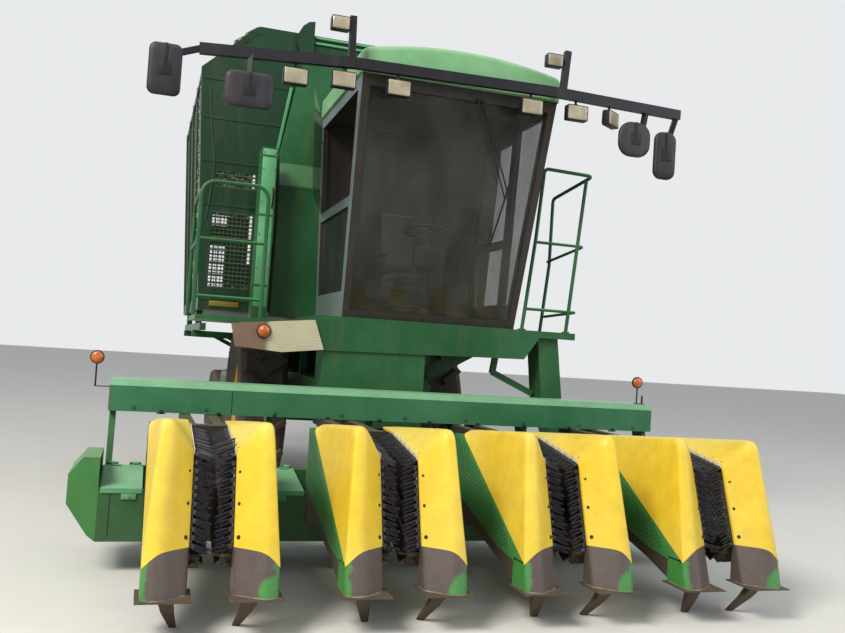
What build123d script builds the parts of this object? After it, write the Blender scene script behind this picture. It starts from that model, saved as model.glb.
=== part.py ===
# Cotton stripper: a four-row header in front of an offset cab, with a
# tipping mesh basket over the drive and steering axles.
# Millimetres, +Z up, +Y towards the rear, +X towards the machine's left.
# The origin lies on the ground under the middle of the whole machine.

import math
import os

from build123d import *

os.makedirs("parts", exist_ok=True)

SIDES = (-1, 1)

# Overall
LENGTH = 7800
FRONT = -LENGTH / 2
FACE_GAP = 0.3
PIN_FIT = 0.05
SHEET = 6
PLATE = 10

# Rows
ROW_SPACING = 1016
ROW_COUNT = 4
ROWS = [(i - (ROW_COUNT - 1) / 2) * ROW_SPACING for i in range(ROW_COUNT)]

# Hoods, as (x from the row's middle, nose, crest, brow and rear top)
HOOD_OUTER = 340
HOOD_RIDGE = 268
HOOD_INNER = 110
HOOD_WALL = 6
HOOD_LIP = 60
HOOD_REAR = FRONT + 1170
HOOD_REAR_LOW = 955
HOOD_BROW = FRONT + 920
HOOD_SECTIONS = (
    # x, nose y, nose z, crest y, crest z, brow z, rear top z
    (HOOD_OUTER, FRONT + 80, 350, FRONT + 262, 1062, 1008, 985),
    (HOOD_RIDGE, FRONT + 66, 430, FRONT + 260, 1080, 1014, 990),
    (HOOD_INNER, FRONT + 200, 430, FRONT + 370, 895, 980, 985),
)
TIP_LOW = 208
TIP_BACK = FRONT + 235

# Skids
SKID_INNER = 90
SKID_OUTER = 362
SKID_BACK = FRONT + 250
LEG_SECTIONS = (
    # z, x from the row's middle, y, width, depth
    (TIP_LOW - SHEET, 215, FRONT + 130, 84, 56),
    (110, 196, FRONT + 200, 66, 44),
    (0, 160, FRONT + 300, 36, 28),
)

# Rolls
ROLL_X = 84
ROLL_R = 72
ROLL_CORE_R = 27
ROLL_BAT = 12
ROLL_BATS = 6
ROLL_FRONT_Y = FRONT + 320
ROLL_FRONT_Z = 350
ROLL_BACK_Y = FRONT + 1185
ROLL_BACK_Z = 735
JOURNAL_R = 16
JOURNAL_LENGTH = 70
BEARING_WIDTH = 60
BEARING_HEIGHT = 66
BEARING_DEPTH = 28
BEARING_BACK = 16

# Row frames
GEARBOX_FRONT = FRONT + 1240
GEARBOX_LOW = 330
GEARBOX_TOP = 945
RAIL_INNER = 300
HANGER_X = 90
HANGER_WIDTH = 70

# Trough
TROUGH_HALF = 2130
TROUGH_FRONT = FRONT + 1350
TROUGH_BACK = FRONT + 1850
TROUGH_LOW = 200
TROUGH_FRONT_TOP = 520
TROUGH_BACK_TOP = 600
TROUGH_WALL = 10
INLET_HALF = 210
INLET_LOW = 350
INLET_HIGH = 490
OUTLET = (-430, 260)
OUTLET_LOW = 260
OUTLET_HIGH = 540
SHIELD_REACH = 2310
LID_WALL = 6
LID_GAP = 8

# Auger
AUGER_R = 140
AUGER_SHAFT_R = 45
AUGER_Y = FRONT + 1600
AUGER_Z = 365
AUGER_PITCH = 240
AUGER_PADDLE = 8

# Beam
BEAM_HALF = 2130
BEAM_FRONT = FRONT + 2010
BEAM_BACK = FRONT + 2300
BEAM_LOW = 949
BEAM_TOP = 1170
BEAM_CHAMFER = 44
TOOLBAR_FRONT = FRONT + 2080
TOOLBAR_BACK = FRONT + 2230
TOOLBAR_LOW = 960
TOOLBAR_TOP = 1110

# Lift
LIFT_Y = FRONT + 3000
LIFT_Z = 950
LIFT_PIN_R = 30
ARM_X = 610
ARM_WIDTH = 70
FOOT_Y = FRONT + 3260
FOOT_Z = 640
EYE_Y = FRONT + 2330
EYE_Z = 520
LIFT_X = 300
BARREL_R = 45
BARREL_LENGTH = 600
ROD_R = 25
EYE_R = 42
EYE_WIDTH = 96
EYE_PIN_R = 18
EAR = 16
EYE_SIDE = 3

# Frame
RAIL_X = 400
RAIL_WIDTH = 100
RAIL_LOW = 1000
RAIL_HIGH = 1200
RAIL_FRONT = FRONT + 2960
RAIL_BACK = FRONT + 7600
CROSS_DEPTH = 120
CROSS_LOW = RAIL_LOW + 20
CROSS_YS = (FRONT + 3200, FRONT + 5300, FRONT + 6280, FRONT + 7480)
HITCH_BACK = LENGTH / 2
HITCH_Z = 620
HITCH_PIN_R = 16

# Drive wheels
DRIVE_Y = FRONT + 4450
DRIVE_X = 850
DRIVE_R = 850
DRIVE_WIDTH = 460
DRIVE_RIM_R = 483
DRIVE_HUB_R = 150
AXLE_HALF = 520
AXLE_BOX = 240

# Steering wheels
STEER_Y = FRONT + 6780
STEER_X = 950
STEER_R = 550
STEER_WIDTH = 330
STEER_RIM_R = 300
STEER_HUB_R = 90
KINGPIN_X = 690
KINGPIN_R = 32
KINGPIN_HALF = 130
STEER_BEAM_HALF = 630

# Deck
DECK_TOP = 1735
DECK_LOW = 1450
DECK_WALL = 8
DECK_FRONT = FRONT + 2620
DECK_BACK = FRONT + 4150
DECK_LEFT = 1700
WALK_TOP = 1675
WALK_RIGHT = -1560
WALK_FRONT = FRONT + 2760
WALK_BACK = FRONT + 3850

# Cab
CAB_LOW = DECK_TOP
CAB_TOP = 3640
CAB_LOW_X = (-390, 1145)
CAB_TOP_X = (-455, 1215)
CAB_LOW_Y = (FRONT + 2710, FRONT + 3900)
CAB_TOP_Y = (FRONT + 2240, FRONT + 3880)
CAB_WALL = 45
GLASS = 6
ROOF_TOP = 3925
ROOF_SIDE = 3825
ROOF_CORNER = 90
ROOF_ROUND = 50
DOOR_FRONT = FRONT + 3004
DOOR_BACK = FRONT + 3800
DOOR_LOW = CAB_LOW + 60
DOOR_HIGH = 3540
DOOR_GAP = 6
DOOR_PANE_YS = (FRONT + 3074, FRONT + 3730)
DOOR_PANES = ((1960, 2480), (2560, 3460))

# Bar
BAR_HEIGHT = 80
BAR_DEPTH = 50
BAR_POINTS = (
    # x, y, z of the middle
    (-1700, FRONT + 2150, 3590),
    (-560, FRONT + 2050, 3632),
    (1100, FRONT + 2050, 3660),
    (2285, FRONT + 2080, 3645),
)

# Basket
BASKET_FOOT = 1460
BASKET_HALF = 1590
BASKET_FRONT = FRONT + 4300
BASKET_BACK = FRONT + 7500
BASKET_LOW = 1760
BASKET_SHOULDER = 4100
BASKET_TOP = 4580
BASKET_POST = 60
BASKET_SHEET = 5
TIP_PIVOT_X = 1400
TIP_PIVOT_Z = 1695
TIP_PIN_R = 28


def block(x, y, z, mode=Mode.ADD):
    """A box between three pairs of limits."""
    limits = (x, y, z)
    centre = tuple((low + high) / 2 for low, high in limits)
    with Locations(centre):
        Box(*(abs(high - low) for low, high in limits), mode=mode)


def sided(x, side):
    """A pair of x limits on one side of the middle."""
    return tuple(sorted(side * value for value in x))


def rod(start, end, radius, mode=Mode.ADD):
    """A round bar between two points."""
    axis = Vector(*end) - Vector(*start)
    with BuildSketch(Plane(origin=start, z_dir=axis)) as ring:
        Circle(radius)
    extrude(ring.sketch, amount=axis.length, mode=mode)


def beam(start, end, width, depth, mode=Mode.ADD):
    """A square bar between two points: its width is level, its depth upright."""
    axis = Vector(*end) - Vector(*start)
    level = Vector(0, 0, 1).cross(axis)
    across = level if level.length > 1 else Vector(1, 0, 0)
    with BuildSketch(Plane(origin=start, x_dir=across, z_dir=axis)) as section:
        Rectangle(width, depth)
    extrude(section.sketch, amount=axis.length, mode=mode)


def pipe(points, radius, bend):
    """A bent tube through a list of points."""
    with BuildLine() as route:
        FilletPolyline(*points, radius=bend)
    line = route.line
    with BuildSketch(Plane(origin=line @ 0, z_dir=line % 0)) as ring:
        Circle(radius)
    sweep(ring.sketch, path=line)


def side_prism(x, outline, mode=Mode.ADD):
    """An outline of (y, z) points, pulled between two x limits."""
    low, high = sorted(x)
    with BuildSketch(Plane.YZ.offset(low)) as section:
        Polygon(*outline, align=None)
    extrude(section.sketch, amount=high - low, mode=mode)


def front_prism(y, outline, mode=Mode.ADD):
    """An outline of (x, z) points, pulled between two y limits."""
    low, high = sorted(y)
    upright = Plane(origin=(0, high, 0), x_dir=(1, 0, 0), z_dir=(0, -1, 0))
    with BuildSketch(upright) as section:
        Polygon(*outline, align=None)
    extrude(section.sketch, amount=high - low, mode=mode)


def flat_prism(z, outline, mode=Mode.ADD):
    """An outline of (x, y) points, pulled between two z limits."""
    low, high = sorted(z)
    with BuildSketch(Plane.XY.offset(low)) as section:
        Polygon(*outline, align=None)
    extrude(section.sketch, amount=high - low, mode=mode)


def skin(sections, mode=Mode.ADD):
    """A ruled body through (x, outline) sections, each outline in (y, z)."""
    faces = []
    for x, outline in sorted(sections, key=lambda section: section[0]):
        with BuildSketch(Plane.YZ.offset(x)) as section:
            Polygon(*outline, align=None)
        faces.append(section.sketch)
    loft(faces, ruled=True, mode=mode)


def tower(sections, mode=Mode.ADD):
    """A ruled body through (z, x limits, y limits) rectangles."""
    faces = []
    for z, x, y in sections:
        with BuildSketch(Plane.XY.offset(z)) as section:
            with Locations(((x[0] + x[1]) / 2, (y[0] + y[1]) / 2)):
                Rectangle(x[1] - x[0], y[1] - y[0])
        faces.append(section.sketch)
    loft(faces, ruled=True, mode=mode)


def inset(outline, distance):
    """An outline drawn in by a distance all round, its corners mitred."""
    area = sum(a[0] * b[1] - b[0] * a[1] for a, b in zip(outline, outline[1:] + outline[:1]))
    turn = 1 if area > 0 else -1
    drawn = []
    for before, here, after in zip(outline[-1:] + outline[:-1], outline, outline[1:] + outline[:1]):
        first = (Vector(*here) - Vector(*before)).normalized()
        second = (Vector(*after) - Vector(*here)).normalized()
        normal = Vector(-first.Y, first.X) * turn
        half = (normal + Vector(-second.Y, second.X) * turn).normalized()
        spot = Vector(*here) + half * (distance / half.dot(normal))
        drawn.append((spot.X, spot.Y))
    return tuple(drawn)


def write(builder, name):
    """Labels a finished piece and writes it."""
    builder.part.label = name
    export_step(builder.part, f"parts/{name}.step")


# Hoods
def hood_outline(nose, crest, brow, top, wall, drop):
    """The side view of a hood, set in by its wall and lengthened downwards."""
    slope = (crest[0] - nose[0]) / (crest[1] - nose[1])
    past = wall
    return (
        (nose[0] - drop * slope + wall, nose[1] - drop),
        (crest[0] + wall, crest[1] - wall),
        (HOOD_BROW, brow - wall),
        (HOOD_REAR + past, top - wall),
        (HOOD_REAR + past, HOOD_REAR_LOW - drop),
    )


def hood(row, side):
    """One pressed hood: a skin, hollow from below and from the rear."""
    solid, hollow = [], []
    for x, nose_y, nose_z, crest_y, crest_z, brow, top in HOOD_SECTIONS:
        nose, crest = (nose_y, nose_z), (crest_y, crest_z)
        solid.append((row + side * x, hood_outline(nose, crest, brow, top, 0, 0)))
        inset = {HOOD_OUTER: -HOOD_WALL, HOOD_INNER: HOOD_WALL}.get(x, 0)
        inner = hood_outline(nose, crest, brow, top, HOOD_WALL, 2 * HOOD_LIP)
        hollow.append((row + side * (x + inset), inner))
    skin(solid)
    skin(hollow, mode=Mode.SUBTRACT)
    nose_y, nose_z, crest_y, crest_z, brow, top = HOOD_SECTIONS[-1][1:]
    window = hood_outline((nose_y, nose_z), (crest_y, crest_z), brow, top, HOOD_LIP, 2 * HOOD_LIP)
    side_prism(
        (row + side * (HOOD_INNER - HOOD_WALL), row + side * (HOOD_INNER + 2 * HOOD_WALL)),
        window,
        mode=Mode.SUBTRACT,
    )


with BuildPart() as row_hoods:
    for row in ROWS:
        for side in SIDES:
            hood(row, side)
write(row_hoods, "row_hoods")

# Tips
with BuildPart() as row_tips:
    for row in ROWS:
        for side in SIDES:
            sections = []
            for x, nose_y, nose_z, crest_y, crest_z, _, _ in HOOD_SECTIONS:
                slope = (crest_y - nose_y) / (crest_z - nose_z)
                low_y = nose_y - (nose_z - TIP_LOW) * slope
                top = nose_z - FACE_GAP
                outline = ((low_y, TIP_LOW), (nose_y, top), (TIP_BACK, top), (TIP_BACK, TIP_LOW))
                sections.append((row + side * x, outline))
            skin(sections)
write(row_tips, "row_tips")

# Skids
with BuildPart() as row_skids:
    for row in ROWS:
        for side in SIDES:
            x = tuple(sorted((row + side * SKID_INNER, row + side * SKID_OUTER)))
            block(x, (FRONT, SKID_BACK), (TIP_LOW - SHEET, TIP_LOW))
            feet = []
            for z, off, y, width, depth in LEG_SECTIONS:
                middle = row + side * off
                x = (middle - width / 2, middle + width / 2)
                feet.append((z, x, (y - depth / 2, y + depth / 2)))
            tower(feet)
write(row_skids, "row_skids")

# Rolls
ROLL_RISE = (ROLL_BACK_Z - ROLL_FRONT_Z) / (ROLL_BACK_Y - ROLL_FRONT_Y)
ROLL_AXIS = Vector(0, 1, ROLL_RISE).normalized()
ROLL_LENGTH = math.hypot(ROLL_BACK_Y - ROLL_FRONT_Y, ROLL_BACK_Z - ROLL_FRONT_Z)


def on_roll(x, along):
    """A point on a roll's axis, measured from the roll's front end."""
    return Vector(x, ROLL_FRONT_Y, ROLL_FRONT_Z) + ROLL_AXIS * along


def roll(x, turn):
    """A roll with bats and brushes standing out along its core."""
    with BuildSketch(Plane(origin=on_roll(x, 0), x_dir=(1, 0, 0), z_dir=ROLL_AXIS)) as star:
        Circle(ROLL_CORE_R)
        with PolarLocations(ROLL_R / 2, ROLL_BATS, start_angle=turn):
            Rectangle(ROLL_R, ROLL_BAT)
    extrude(star.sketch, amount=ROLL_LENGTH)
    for start in (-JOURNAL_LENGTH, ROLL_LENGTH):
        rod(on_roll(x, start), on_roll(x, start + JOURNAL_LENGTH), JOURNAL_R)


for number, row in enumerate(ROWS, 1):
    for side, hand in ((-1, "right"), (1, "left")):
        with BuildPart() as stripper_roll:
            roll(row + side * ROLL_X, 15 if side > 0 else 45)
        write(stripper_roll, f"roll_{number}_{hand}")

# Row frames
with BuildPart() as row_frames:
    for row in ROWS:
        wide = (row - HOOD_OUTER + HOOD_WALL, row + HOOD_OUTER - HOOD_WALL)
        block(wide, (GEARBOX_FRONT, TROUGH_FRONT - FACE_GAP), (GEARBOX_LOW, GEARBOX_TOP))
        block(
            (row - INLET_HALF, row + INLET_HALF),
            (GEARBOX_FRONT - 1, TROUGH_FRONT + 1),
            (INLET_LOW, INLET_HIGH),
            mode=Mode.SUBTRACT,
        )
        for side in SIDES:
            cheek = (row + side * RAIL_INNER, row + side * (HOOD_OUTER - HOOD_WALL))
            side_prism(
                cheek,
                (
                    (TIP_BACK + FACE_GAP, 225),
                    (FRONT + 470, 295),
                    (GEARBOX_FRONT + 1, 470),
                    (GEARBOX_FRONT + 1, 560),
                    (FRONT + 470, 372),
                    (TIP_BACK + FACE_GAP, 340),
                ),
            )
            bearing = on_roll(row + side * ROLL_X, -BEARING_BACK - BEARING_DEPTH)
            reach = RAIL_INNER - ROLL_X + BEARING_WIDTH / 2 + 1
            shift = side * (reach / 2 - BEARING_WIDTH / 2)
            with BuildSketch(Plane(origin=bearing, x_dir=(1, 0, 0), z_dir=ROLL_AXIS)) as pad:
                with Locations((shift, 0)):
                    Rectangle(reach, BEARING_HEIGHT)
            extrude(pad.sketch, amount=BEARING_DEPTH)
            for start, end in ((-2 * JOURNAL_LENGTH, 0), (ROLL_LENGTH, ROLL_LENGTH + JOURNAL_LENGTH + 2)):
                rod(
                    on_roll(row + side * ROLL_X, start),
                    on_roll(row + side * ROLL_X, end),
                    JOURNAL_R + PIN_FIT,
                    mode=Mode.SUBTRACT,
                )
            hanger = row + side * HANGER_X
            block(
                (hanger - HANGER_WIDTH / 2, hanger + HANGER_WIDTH / 2),
                (TROUGH_FRONT - FACE_GAP - 1, TOOLBAR_BACK),
                (GEARBOX_TOP - 70, GEARBOX_TOP),
            )
            block(
                (hanger - HANGER_WIDTH / 2, hanger + HANGER_WIDTH / 2),
                (TOOLBAR_FRONT, TOOLBAR_BACK),
                (GEARBOX_TOP - 1, TOOLBAR_LOW - FACE_GAP),
            )
write(row_frames, "row_frames")

# Side panels
PANEL_SLOTS = 7
PANEL_SLOT = 14
with BuildPart() as side_panels:
    for row in ROWS:
        for side in SIDES:
            x = (row + side * (HOOD_OUTER - HOOD_WALL + FACE_GAP), row + side * HOOD_OUTER)
            nose_y, nose_z = HOOD_SECTIONS[0][1:3]
            under = (HOOD_REAR_LOW - nose_z) / (HOOD_REAR - nose_y)
            seam = 2
            side_prism(
                x,
                (
                    (nose_y + 40, nose_z + 40 * under - seam),
                    (nose_y + 40, nose_z + HOOD_WALL + 2),
                    (TIP_BACK + FACE_GAP, nose_z + HOOD_WALL + 2),
                    (TIP_BACK + FACE_GAP, 338),
                    (FRONT + 470, 362),
                    (GEARBOX_FRONT - 20, 560),
                    (TROUGH_FRONT - FACE_GAP, 600),
                    (TROUGH_FRONT - FACE_GAP, GEARBOX_TOP),
                    (HOOD_REAR, HOOD_REAR_LOW - seam),
                ),
            )
            for slot in range(PANEL_SLOTS):
                y = FRONT + 480 + slot * 80
                low = 420 + (y - FRONT - 480) * 0.36
                high = nose_z + (y - nose_y) * under - 60
                block(
                    (x[0] - 1, x[1] + 1) if side > 0 else (x[1] - 1, x[0] + 1),
                    (y, y + PANEL_SLOT),
                    (low, high),
                    mode=Mode.SUBTRACT,
                )
write(side_panels, "side_panels")

# Combs
COMB_POINTS = (
    # y, z on the inner edge of a hood
    (FRONT + 222, 440),
    (FRONT + 378, 868),
    (FRONT + 915, 952),
)
COMB_PITCH = 62
COMB_TOOTH = (62, 26, 12)
COMB_BACK = 10
with BuildPart() as brush_combs:
    for row in ROWS:
        for side in SIDES:
            inner = row + side * (HOOD_INNER - FACE_GAP)
            for start, end in zip(COMB_POINTS, COMB_POINTS[1:]):
                length = math.dist(start, end)
                step = Vector(0, end[0] - start[0], end[1] - start[1]).normalized()
                middle = inner - side * COMB_BACK / 2
                first = Vector(middle, start[0], start[1])
                last = Vector(middle, end[0], end[1]) + step * COMB_BACK
                beam(first, last, COMB_BACK, 30)
                for tooth in range(int(length // COMB_PITCH)):
                    spot = first + step * (tooth + 0.5) * COMB_PITCH
                    tip = spot - Vector(side * COMB_TOOTH[0], 0, 0) + step * 14
                    beam(spot, tip, COMB_TOOTH[2], COMB_TOOTH[1])
write(brush_combs, "brush_combs")

# Lid hinges
LID_SPANS = []
for start, end in zip([None] + ROWS, ROWS + [None]):
    low = -TROUGH_HALF + TROUGH_WALL if start is None else start + HOOD_OUTER + LID_GAP
    high = TROUGH_HALF - TROUGH_WALL if end is None else end - HOOD_OUTER - LID_GAP
    LID_SPANS.append((low, high))
LID_HINGE_R = 7
LID_HINGE_Y = TROUGH_BACK - 12
LID_HINGE_Z = TROUGH_BACK_TOP + 17

# Trough
TROUGH_RISE = (TROUGH_BACK_TOP - TROUGH_FRONT_TOP) / (TROUGH_BACK - TROUGH_FRONT)
with BuildPart() as auger_trough:
    block((-TROUGH_HALF, TROUGH_HALF), (TROUGH_FRONT, TROUGH_BACK), (TROUGH_LOW, TROUGH_LOW + TROUGH_WALL))
    for side in SIDES:
        side_prism(
            sided((TROUGH_HALF - TROUGH_WALL, TROUGH_HALF), side),
            (
                (TROUGH_FRONT, TROUGH_LOW),
                (TROUGH_BACK, TROUGH_LOW),
                (TROUGH_BACK, TROUGH_BACK_TOP),
                (TROUGH_FRONT, TROUGH_FRONT_TOP),
            ),
        )
        with Locations((side * TROUGH_HALF, AUGER_Y, AUGER_Z)):
            Cylinder(
                AUGER_SHAFT_R + PIN_FIT,
                3 * TROUGH_WALL,
                rotation=(0, 90, 0),
                mode=Mode.SUBTRACT,
            )
write(auger_trough, "auger_trough")

# Trough walls, standing on the floor between the ends
with BuildPart() as trough_walls:
    between_ends = (-TROUGH_HALF + TROUGH_WALL, TROUGH_HALF - TROUGH_WALL)
    for y, top in ((TROUGH_FRONT, TROUGH_FRONT_TOP), (TROUGH_BACK - TROUGH_WALL, TROUGH_BACK_TOP)):
        low_top = top if y == TROUGH_FRONT else top - TROUGH_RISE * TROUGH_WALL
        side_prism(
            between_ends,
            (
                (y, TROUGH_LOW + TROUGH_WALL),
                (y + TROUGH_WALL, TROUGH_LOW + TROUGH_WALL),
                (y + TROUGH_WALL, low_top + TROUGH_RISE * TROUGH_WALL),
                (y, low_top),
            ),
        )
    for row in ROWS:
        block(
            (row - INLET_HALF, row + INLET_HALF),
            (TROUGH_FRONT - 1, TROUGH_FRONT + TROUGH_WALL + 1),
            (INLET_LOW, INLET_HIGH),
            mode=Mode.SUBTRACT,
        )
    block(
        OUTLET,
        (TROUGH_BACK - TROUGH_WALL - 1, TROUGH_BACK + 1),
        (OUTLET_LOW, OUTLET_HIGH),
        mode=Mode.SUBTRACT,
    )
    for low, high in LID_SPANS:
        for x in (low + 30, high - 70):
            rod((x - 18, LID_HINGE_Y, LID_HINGE_Z), (x + 58, LID_HINGE_Y, LID_HINGE_Z), LID_HINGE_R)
            for ear in (x - 18, x + 46):
                block(
                    (ear, ear + 12),
                    (LID_HINGE_Y - 4, TROUGH_BACK),
                    (TROUGH_BACK_TOP - 6, LID_HINGE_Z + LID_HINGE_R),
                )
write(trough_walls, "trough_walls")

with BuildPart() as end_shields:
    for side in SIDES:
        seat = TROUGH_HALF + FACE_GAP
        front_prism(
            (TROUGH_FRONT, TROUGH_BACK),
            [
                (side * x, z)
                for x, z in (
                    (seat, TROUGH_LOW),
                    (seat + 50, TROUGH_LOW + 40),
                    (SHIELD_REACH, 430),
                    (SHIELD_REACH, 610),
                    (SHIELD_REACH - 80, 715),
                    (seat, 715),
                )
            ],
        )
        block(
            sided((seat - 1, seat + 60), side),
            (TROUGH_FRONT + SHEET, TROUGH_BACK - SHEET),
            (TROUGH_LOW + 60, 715 - SHEET),
            mode=Mode.SUBTRACT,
        )
write(end_shields, "end_shields")

# Lids
with BuildPart() as trough_lids:
    rise = (TROUGH_BACK_TOP - TROUGH_FRONT_TOP) / (TROUGH_BACK - TROUGH_FRONT)
    lift = 4
    for low, high in LID_SPANS:
        side_prism(
            (low, high),
            (
                (TROUGH_FRONT - 8, TROUGH_FRONT_TOP + lift - 8 * rise),
                (TROUGH_FRONT - 8, TROUGH_FRONT_TOP + lift + LID_WALL - 8 * rise),
                (LID_HINGE_Y - 6, TROUGH_BACK_TOP + lift + LID_WALL - 18 * rise),
                (LID_HINGE_Y - 6, TROUGH_BACK_TOP + lift - 18 * rise),
            ),
        )
        block((low, high), (TROUGH_FRONT - 8, TROUGH_FRONT - 4), (TROUGH_FRONT_TOP - 20, TROUGH_FRONT_TOP + lift))
        for x in (low + 30, high - 70):
            rod((x, LID_HINGE_Y, LID_HINGE_Z), (x + 40, LID_HINGE_Y, LID_HINGE_Z), LID_HINGE_R + 5)
            rod(
                (x - 1, LID_HINGE_Y, LID_HINGE_Z),
                (x + 41, LID_HINGE_Y, LID_HINGE_Z),
                LID_HINGE_R + PIN_FIT,
                mode=Mode.SUBTRACT,
            )
write(trough_lids, "trough_lids")

# Auger
with BuildPart() as cross_auger:
    reach = TROUGH_HALF + 20
    rod((-reach, AUGER_Y, AUGER_Z), (reach, AUGER_Y, AUGER_Z), AUGER_SHAFT_R)
    count = int((TROUGH_HALF - 120) // AUGER_PITCH)
    for side in SIDES:
        for step in range(count):
            x = side * (160 + step * AUGER_PITCH)
            tilt = side * 18
            with Locations(Location((x, AUGER_Y, AUGER_Z), (0, 90 - tilt, 0))):
                Cylinder(AUGER_R - 6, AUGER_PADDLE)
write(cross_auger, "cross_auger")

# Header beam
with BuildPart() as header_beam:
    outer = (
        (BEAM_FRONT, BEAM_LOW),
        (BEAM_FRONT, BEAM_TOP - BEAM_CHAMFER),
        (BEAM_FRONT + BEAM_CHAMFER, BEAM_TOP),
        (BEAM_BACK, BEAM_TOP),
        (BEAM_BACK, BEAM_LOW),
    )
    inner = (
        (BEAM_FRONT + SHEET, BEAM_LOW - 1),
        (BEAM_FRONT + SHEET, BEAM_TOP - BEAM_CHAMFER - SHEET / 2),
        (BEAM_FRONT + BEAM_CHAMFER + SHEET / 2, BEAM_TOP - SHEET),
        (BEAM_BACK - SHEET, BEAM_TOP - SHEET),
        (BEAM_BACK - SHEET, BEAM_LOW - 1),
    )
    side_prism((-BEAM_HALF, BEAM_HALF), outer)
    side_prism((-BEAM_HALF + SHEET, BEAM_HALF - SHEET), inner, mode=Mode.SUBTRACT)
    for side in SIDES:
        block(
            sided((ARM_X - ARM_WIDTH / 2 - SHEET, ARM_X + ARM_WIDTH / 2 + SHEET), side),
            (BEAM_BACK - SHEET - 1, BEAM_BACK + 1),
            (BEAM_LOW - 1, TOOLBAR_TOP + SHEET),
            mode=Mode.SUBTRACT,
        )
write(header_beam, "header_beam")

# Header frame
UPRIGHT_Y = FRONT + 1880
UPRIGHT_LOW = 230
with BuildPart() as header_frame:
    inside = BEAM_HALF - SHEET - FACE_GAP
    block((-inside, inside), (TOOLBAR_FRONT, TOOLBAR_BACK), (TOOLBAR_LOW, TOOLBAR_TOP))
    block((-inside, inside), (UPRIGHT_Y, UPRIGHT_Y + 80), (UPRIGHT_LOW, UPRIGHT_LOW + 80))
    for x in (-2100, -1016, 1016, 2100):
        side_prism(
            (x - 20, x + 20),
            (
                (UPRIGHT_Y, UPRIGHT_LOW),
                (UPRIGHT_Y + 80, UPRIGHT_LOW),
                (TOOLBAR_BACK, TOOLBAR_LOW + 1),
                (TOOLBAR_FRONT, TOOLBAR_LOW + 1),
                (TOOLBAR_FRONT - 60, TOOLBAR_LOW - 200),
            ),
        )
        block((x - 20, x + 20), (TROUGH_BACK + FACE_GAP, UPRIGHT_Y + 1), (UPRIGHT_LOW, UPRIGHT_LOW + 80))
    for side in SIDES:
        arm = sided((ARM_X - ARM_WIDTH / 2, ARM_X + ARM_WIDTH / 2), side)
        side_prism(
            arm,
            (
                (TOOLBAR_BACK - 1, TOOLBAR_LOW),
                (LIFT_Y, LIFT_Z - 70),
                (LIFT_Y + 60, LIFT_Z - 40),
                (LIFT_Y + 60, LIFT_Z + 50),
                (LIFT_Y, LIFT_Z + 80),
                (BEAM_BACK + 20, TOOLBAR_TOP - 5),
                (TOOLBAR_BACK - 1, TOOLBAR_TOP - 5),
            ),
        )
        rod(
            (arm[0] - 1, LIFT_Y, LIFT_Z),
            (arm[1] + 1, LIFT_Y, LIFT_Z),
            LIFT_PIN_R + PIN_FIT,
            mode=Mode.SUBTRACT,
        )
        for flank in SIDES:
            cheek = side * LIFT_X + flank * (EYE_WIDTH / 2 + EYE_SIDE)
            x = tuple(sorted((cheek, cheek + flank * EAR)))
            side_prism(
                x,
                (
                    (UPRIGHT_Y + 40, UPRIGHT_LOW + 20),
                    (EYE_Y + 40, EYE_Z - 60),
                    (EYE_Y + 50, EYE_Z + 40),
                    (TOOLBAR_BACK, TOOLBAR_LOW + 1),
                    (TOOLBAR_FRONT, TOOLBAR_LOW + 1),
                    (UPRIGHT_Y + 40, UPRIGHT_LOW + 200),
                ),
            )
            pin = cheek + flank * EAR
            rod((pin, EYE_Y, EYE_Z), (pin + flank * 14, EYE_Y, EYE_Z), EYE_PIN_R + 10)
write(header_frame, "header_frame")

# Header lamps
LAMP_R = 42
LEFT_LAMP = (-2229, 1310)
RIGHT_LAMP = (2032, 1348)
LAMP_STEM = 6
with BuildPart() as header_lamps:
    x, height = LEFT_LAMP
    y = BEAM_FRONT + 80
    z = BEAM_TOP - 60
    block((x - 8, -BEAM_HALF - FACE_GAP), (y - 15, y + 15), (z - 4, z + 4))
    rod((x, y, z), (x, y, height - LAMP_R + 2), LAMP_STEM)
    rod((x, y - 22, height), (x, y + 30, height), LAMP_R)
    x, height = RIGHT_LAMP
    block((x - 20, x + 66), (y - 18, y + 18), (BEAM_TOP + FACE_GAP, BEAM_TOP + 6))
    rod((x, y, BEAM_TOP + 5), (x, y, height - LAMP_R + 2), LAMP_STEM)
    rod((x, y - 22, height), (x, y + 30, height), LAMP_R)
    rod((x + 50, y, BEAM_TOP + 5), (x + 50, y, BEAM_TOP + 75), LAMP_STEM + 2)
write(header_lamps, "header_lamps")

# Cylinders
def along(start, end, distance):
    """A point on the way from start to end."""
    step = (Vector(*end) - Vector(*start)).normalized()
    return Vector(*start) + step * distance


def barrel(foot, eye, axis, length, radius, rod_radius, eye_radius, pin_radius, width):
    """A cylinder's barrel with its foot eye, bored for its rod."""
    half = Vector(*axis) * (width / 2)
    point = Vector(*foot)
    rod(point - half, point + half, eye_radius)
    rod(along(foot, eye, eye_radius * 0.7), along(foot, eye, length), radius)
    rod(along(foot, eye, 2 * eye_radius), along(foot, eye, length + 1), rod_radius + PIN_FIT, mode=Mode.SUBTRACT)
    rod(point - half * 2, point + half * 2, pin_radius + PIN_FIT, mode=Mode.SUBTRACT)


def ram(foot, eye, axis, inside, radius, eye_radius, pin_radius, width):
    """A cylinder's rod, from inside the barrel to its eye."""
    half = Vector(*axis) * (width / 2)
    point = Vector(*eye)
    distance = (point - Vector(*foot)).length
    rod(along(foot, eye, inside), along(foot, eye, distance - eye_radius * 0.7), radius)
    rod(point - half, point + half, eye_radius)
    rod(point - half * 2, point + half * 2, pin_radius + PIN_FIT, mode=Mode.SUBTRACT)


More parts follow.
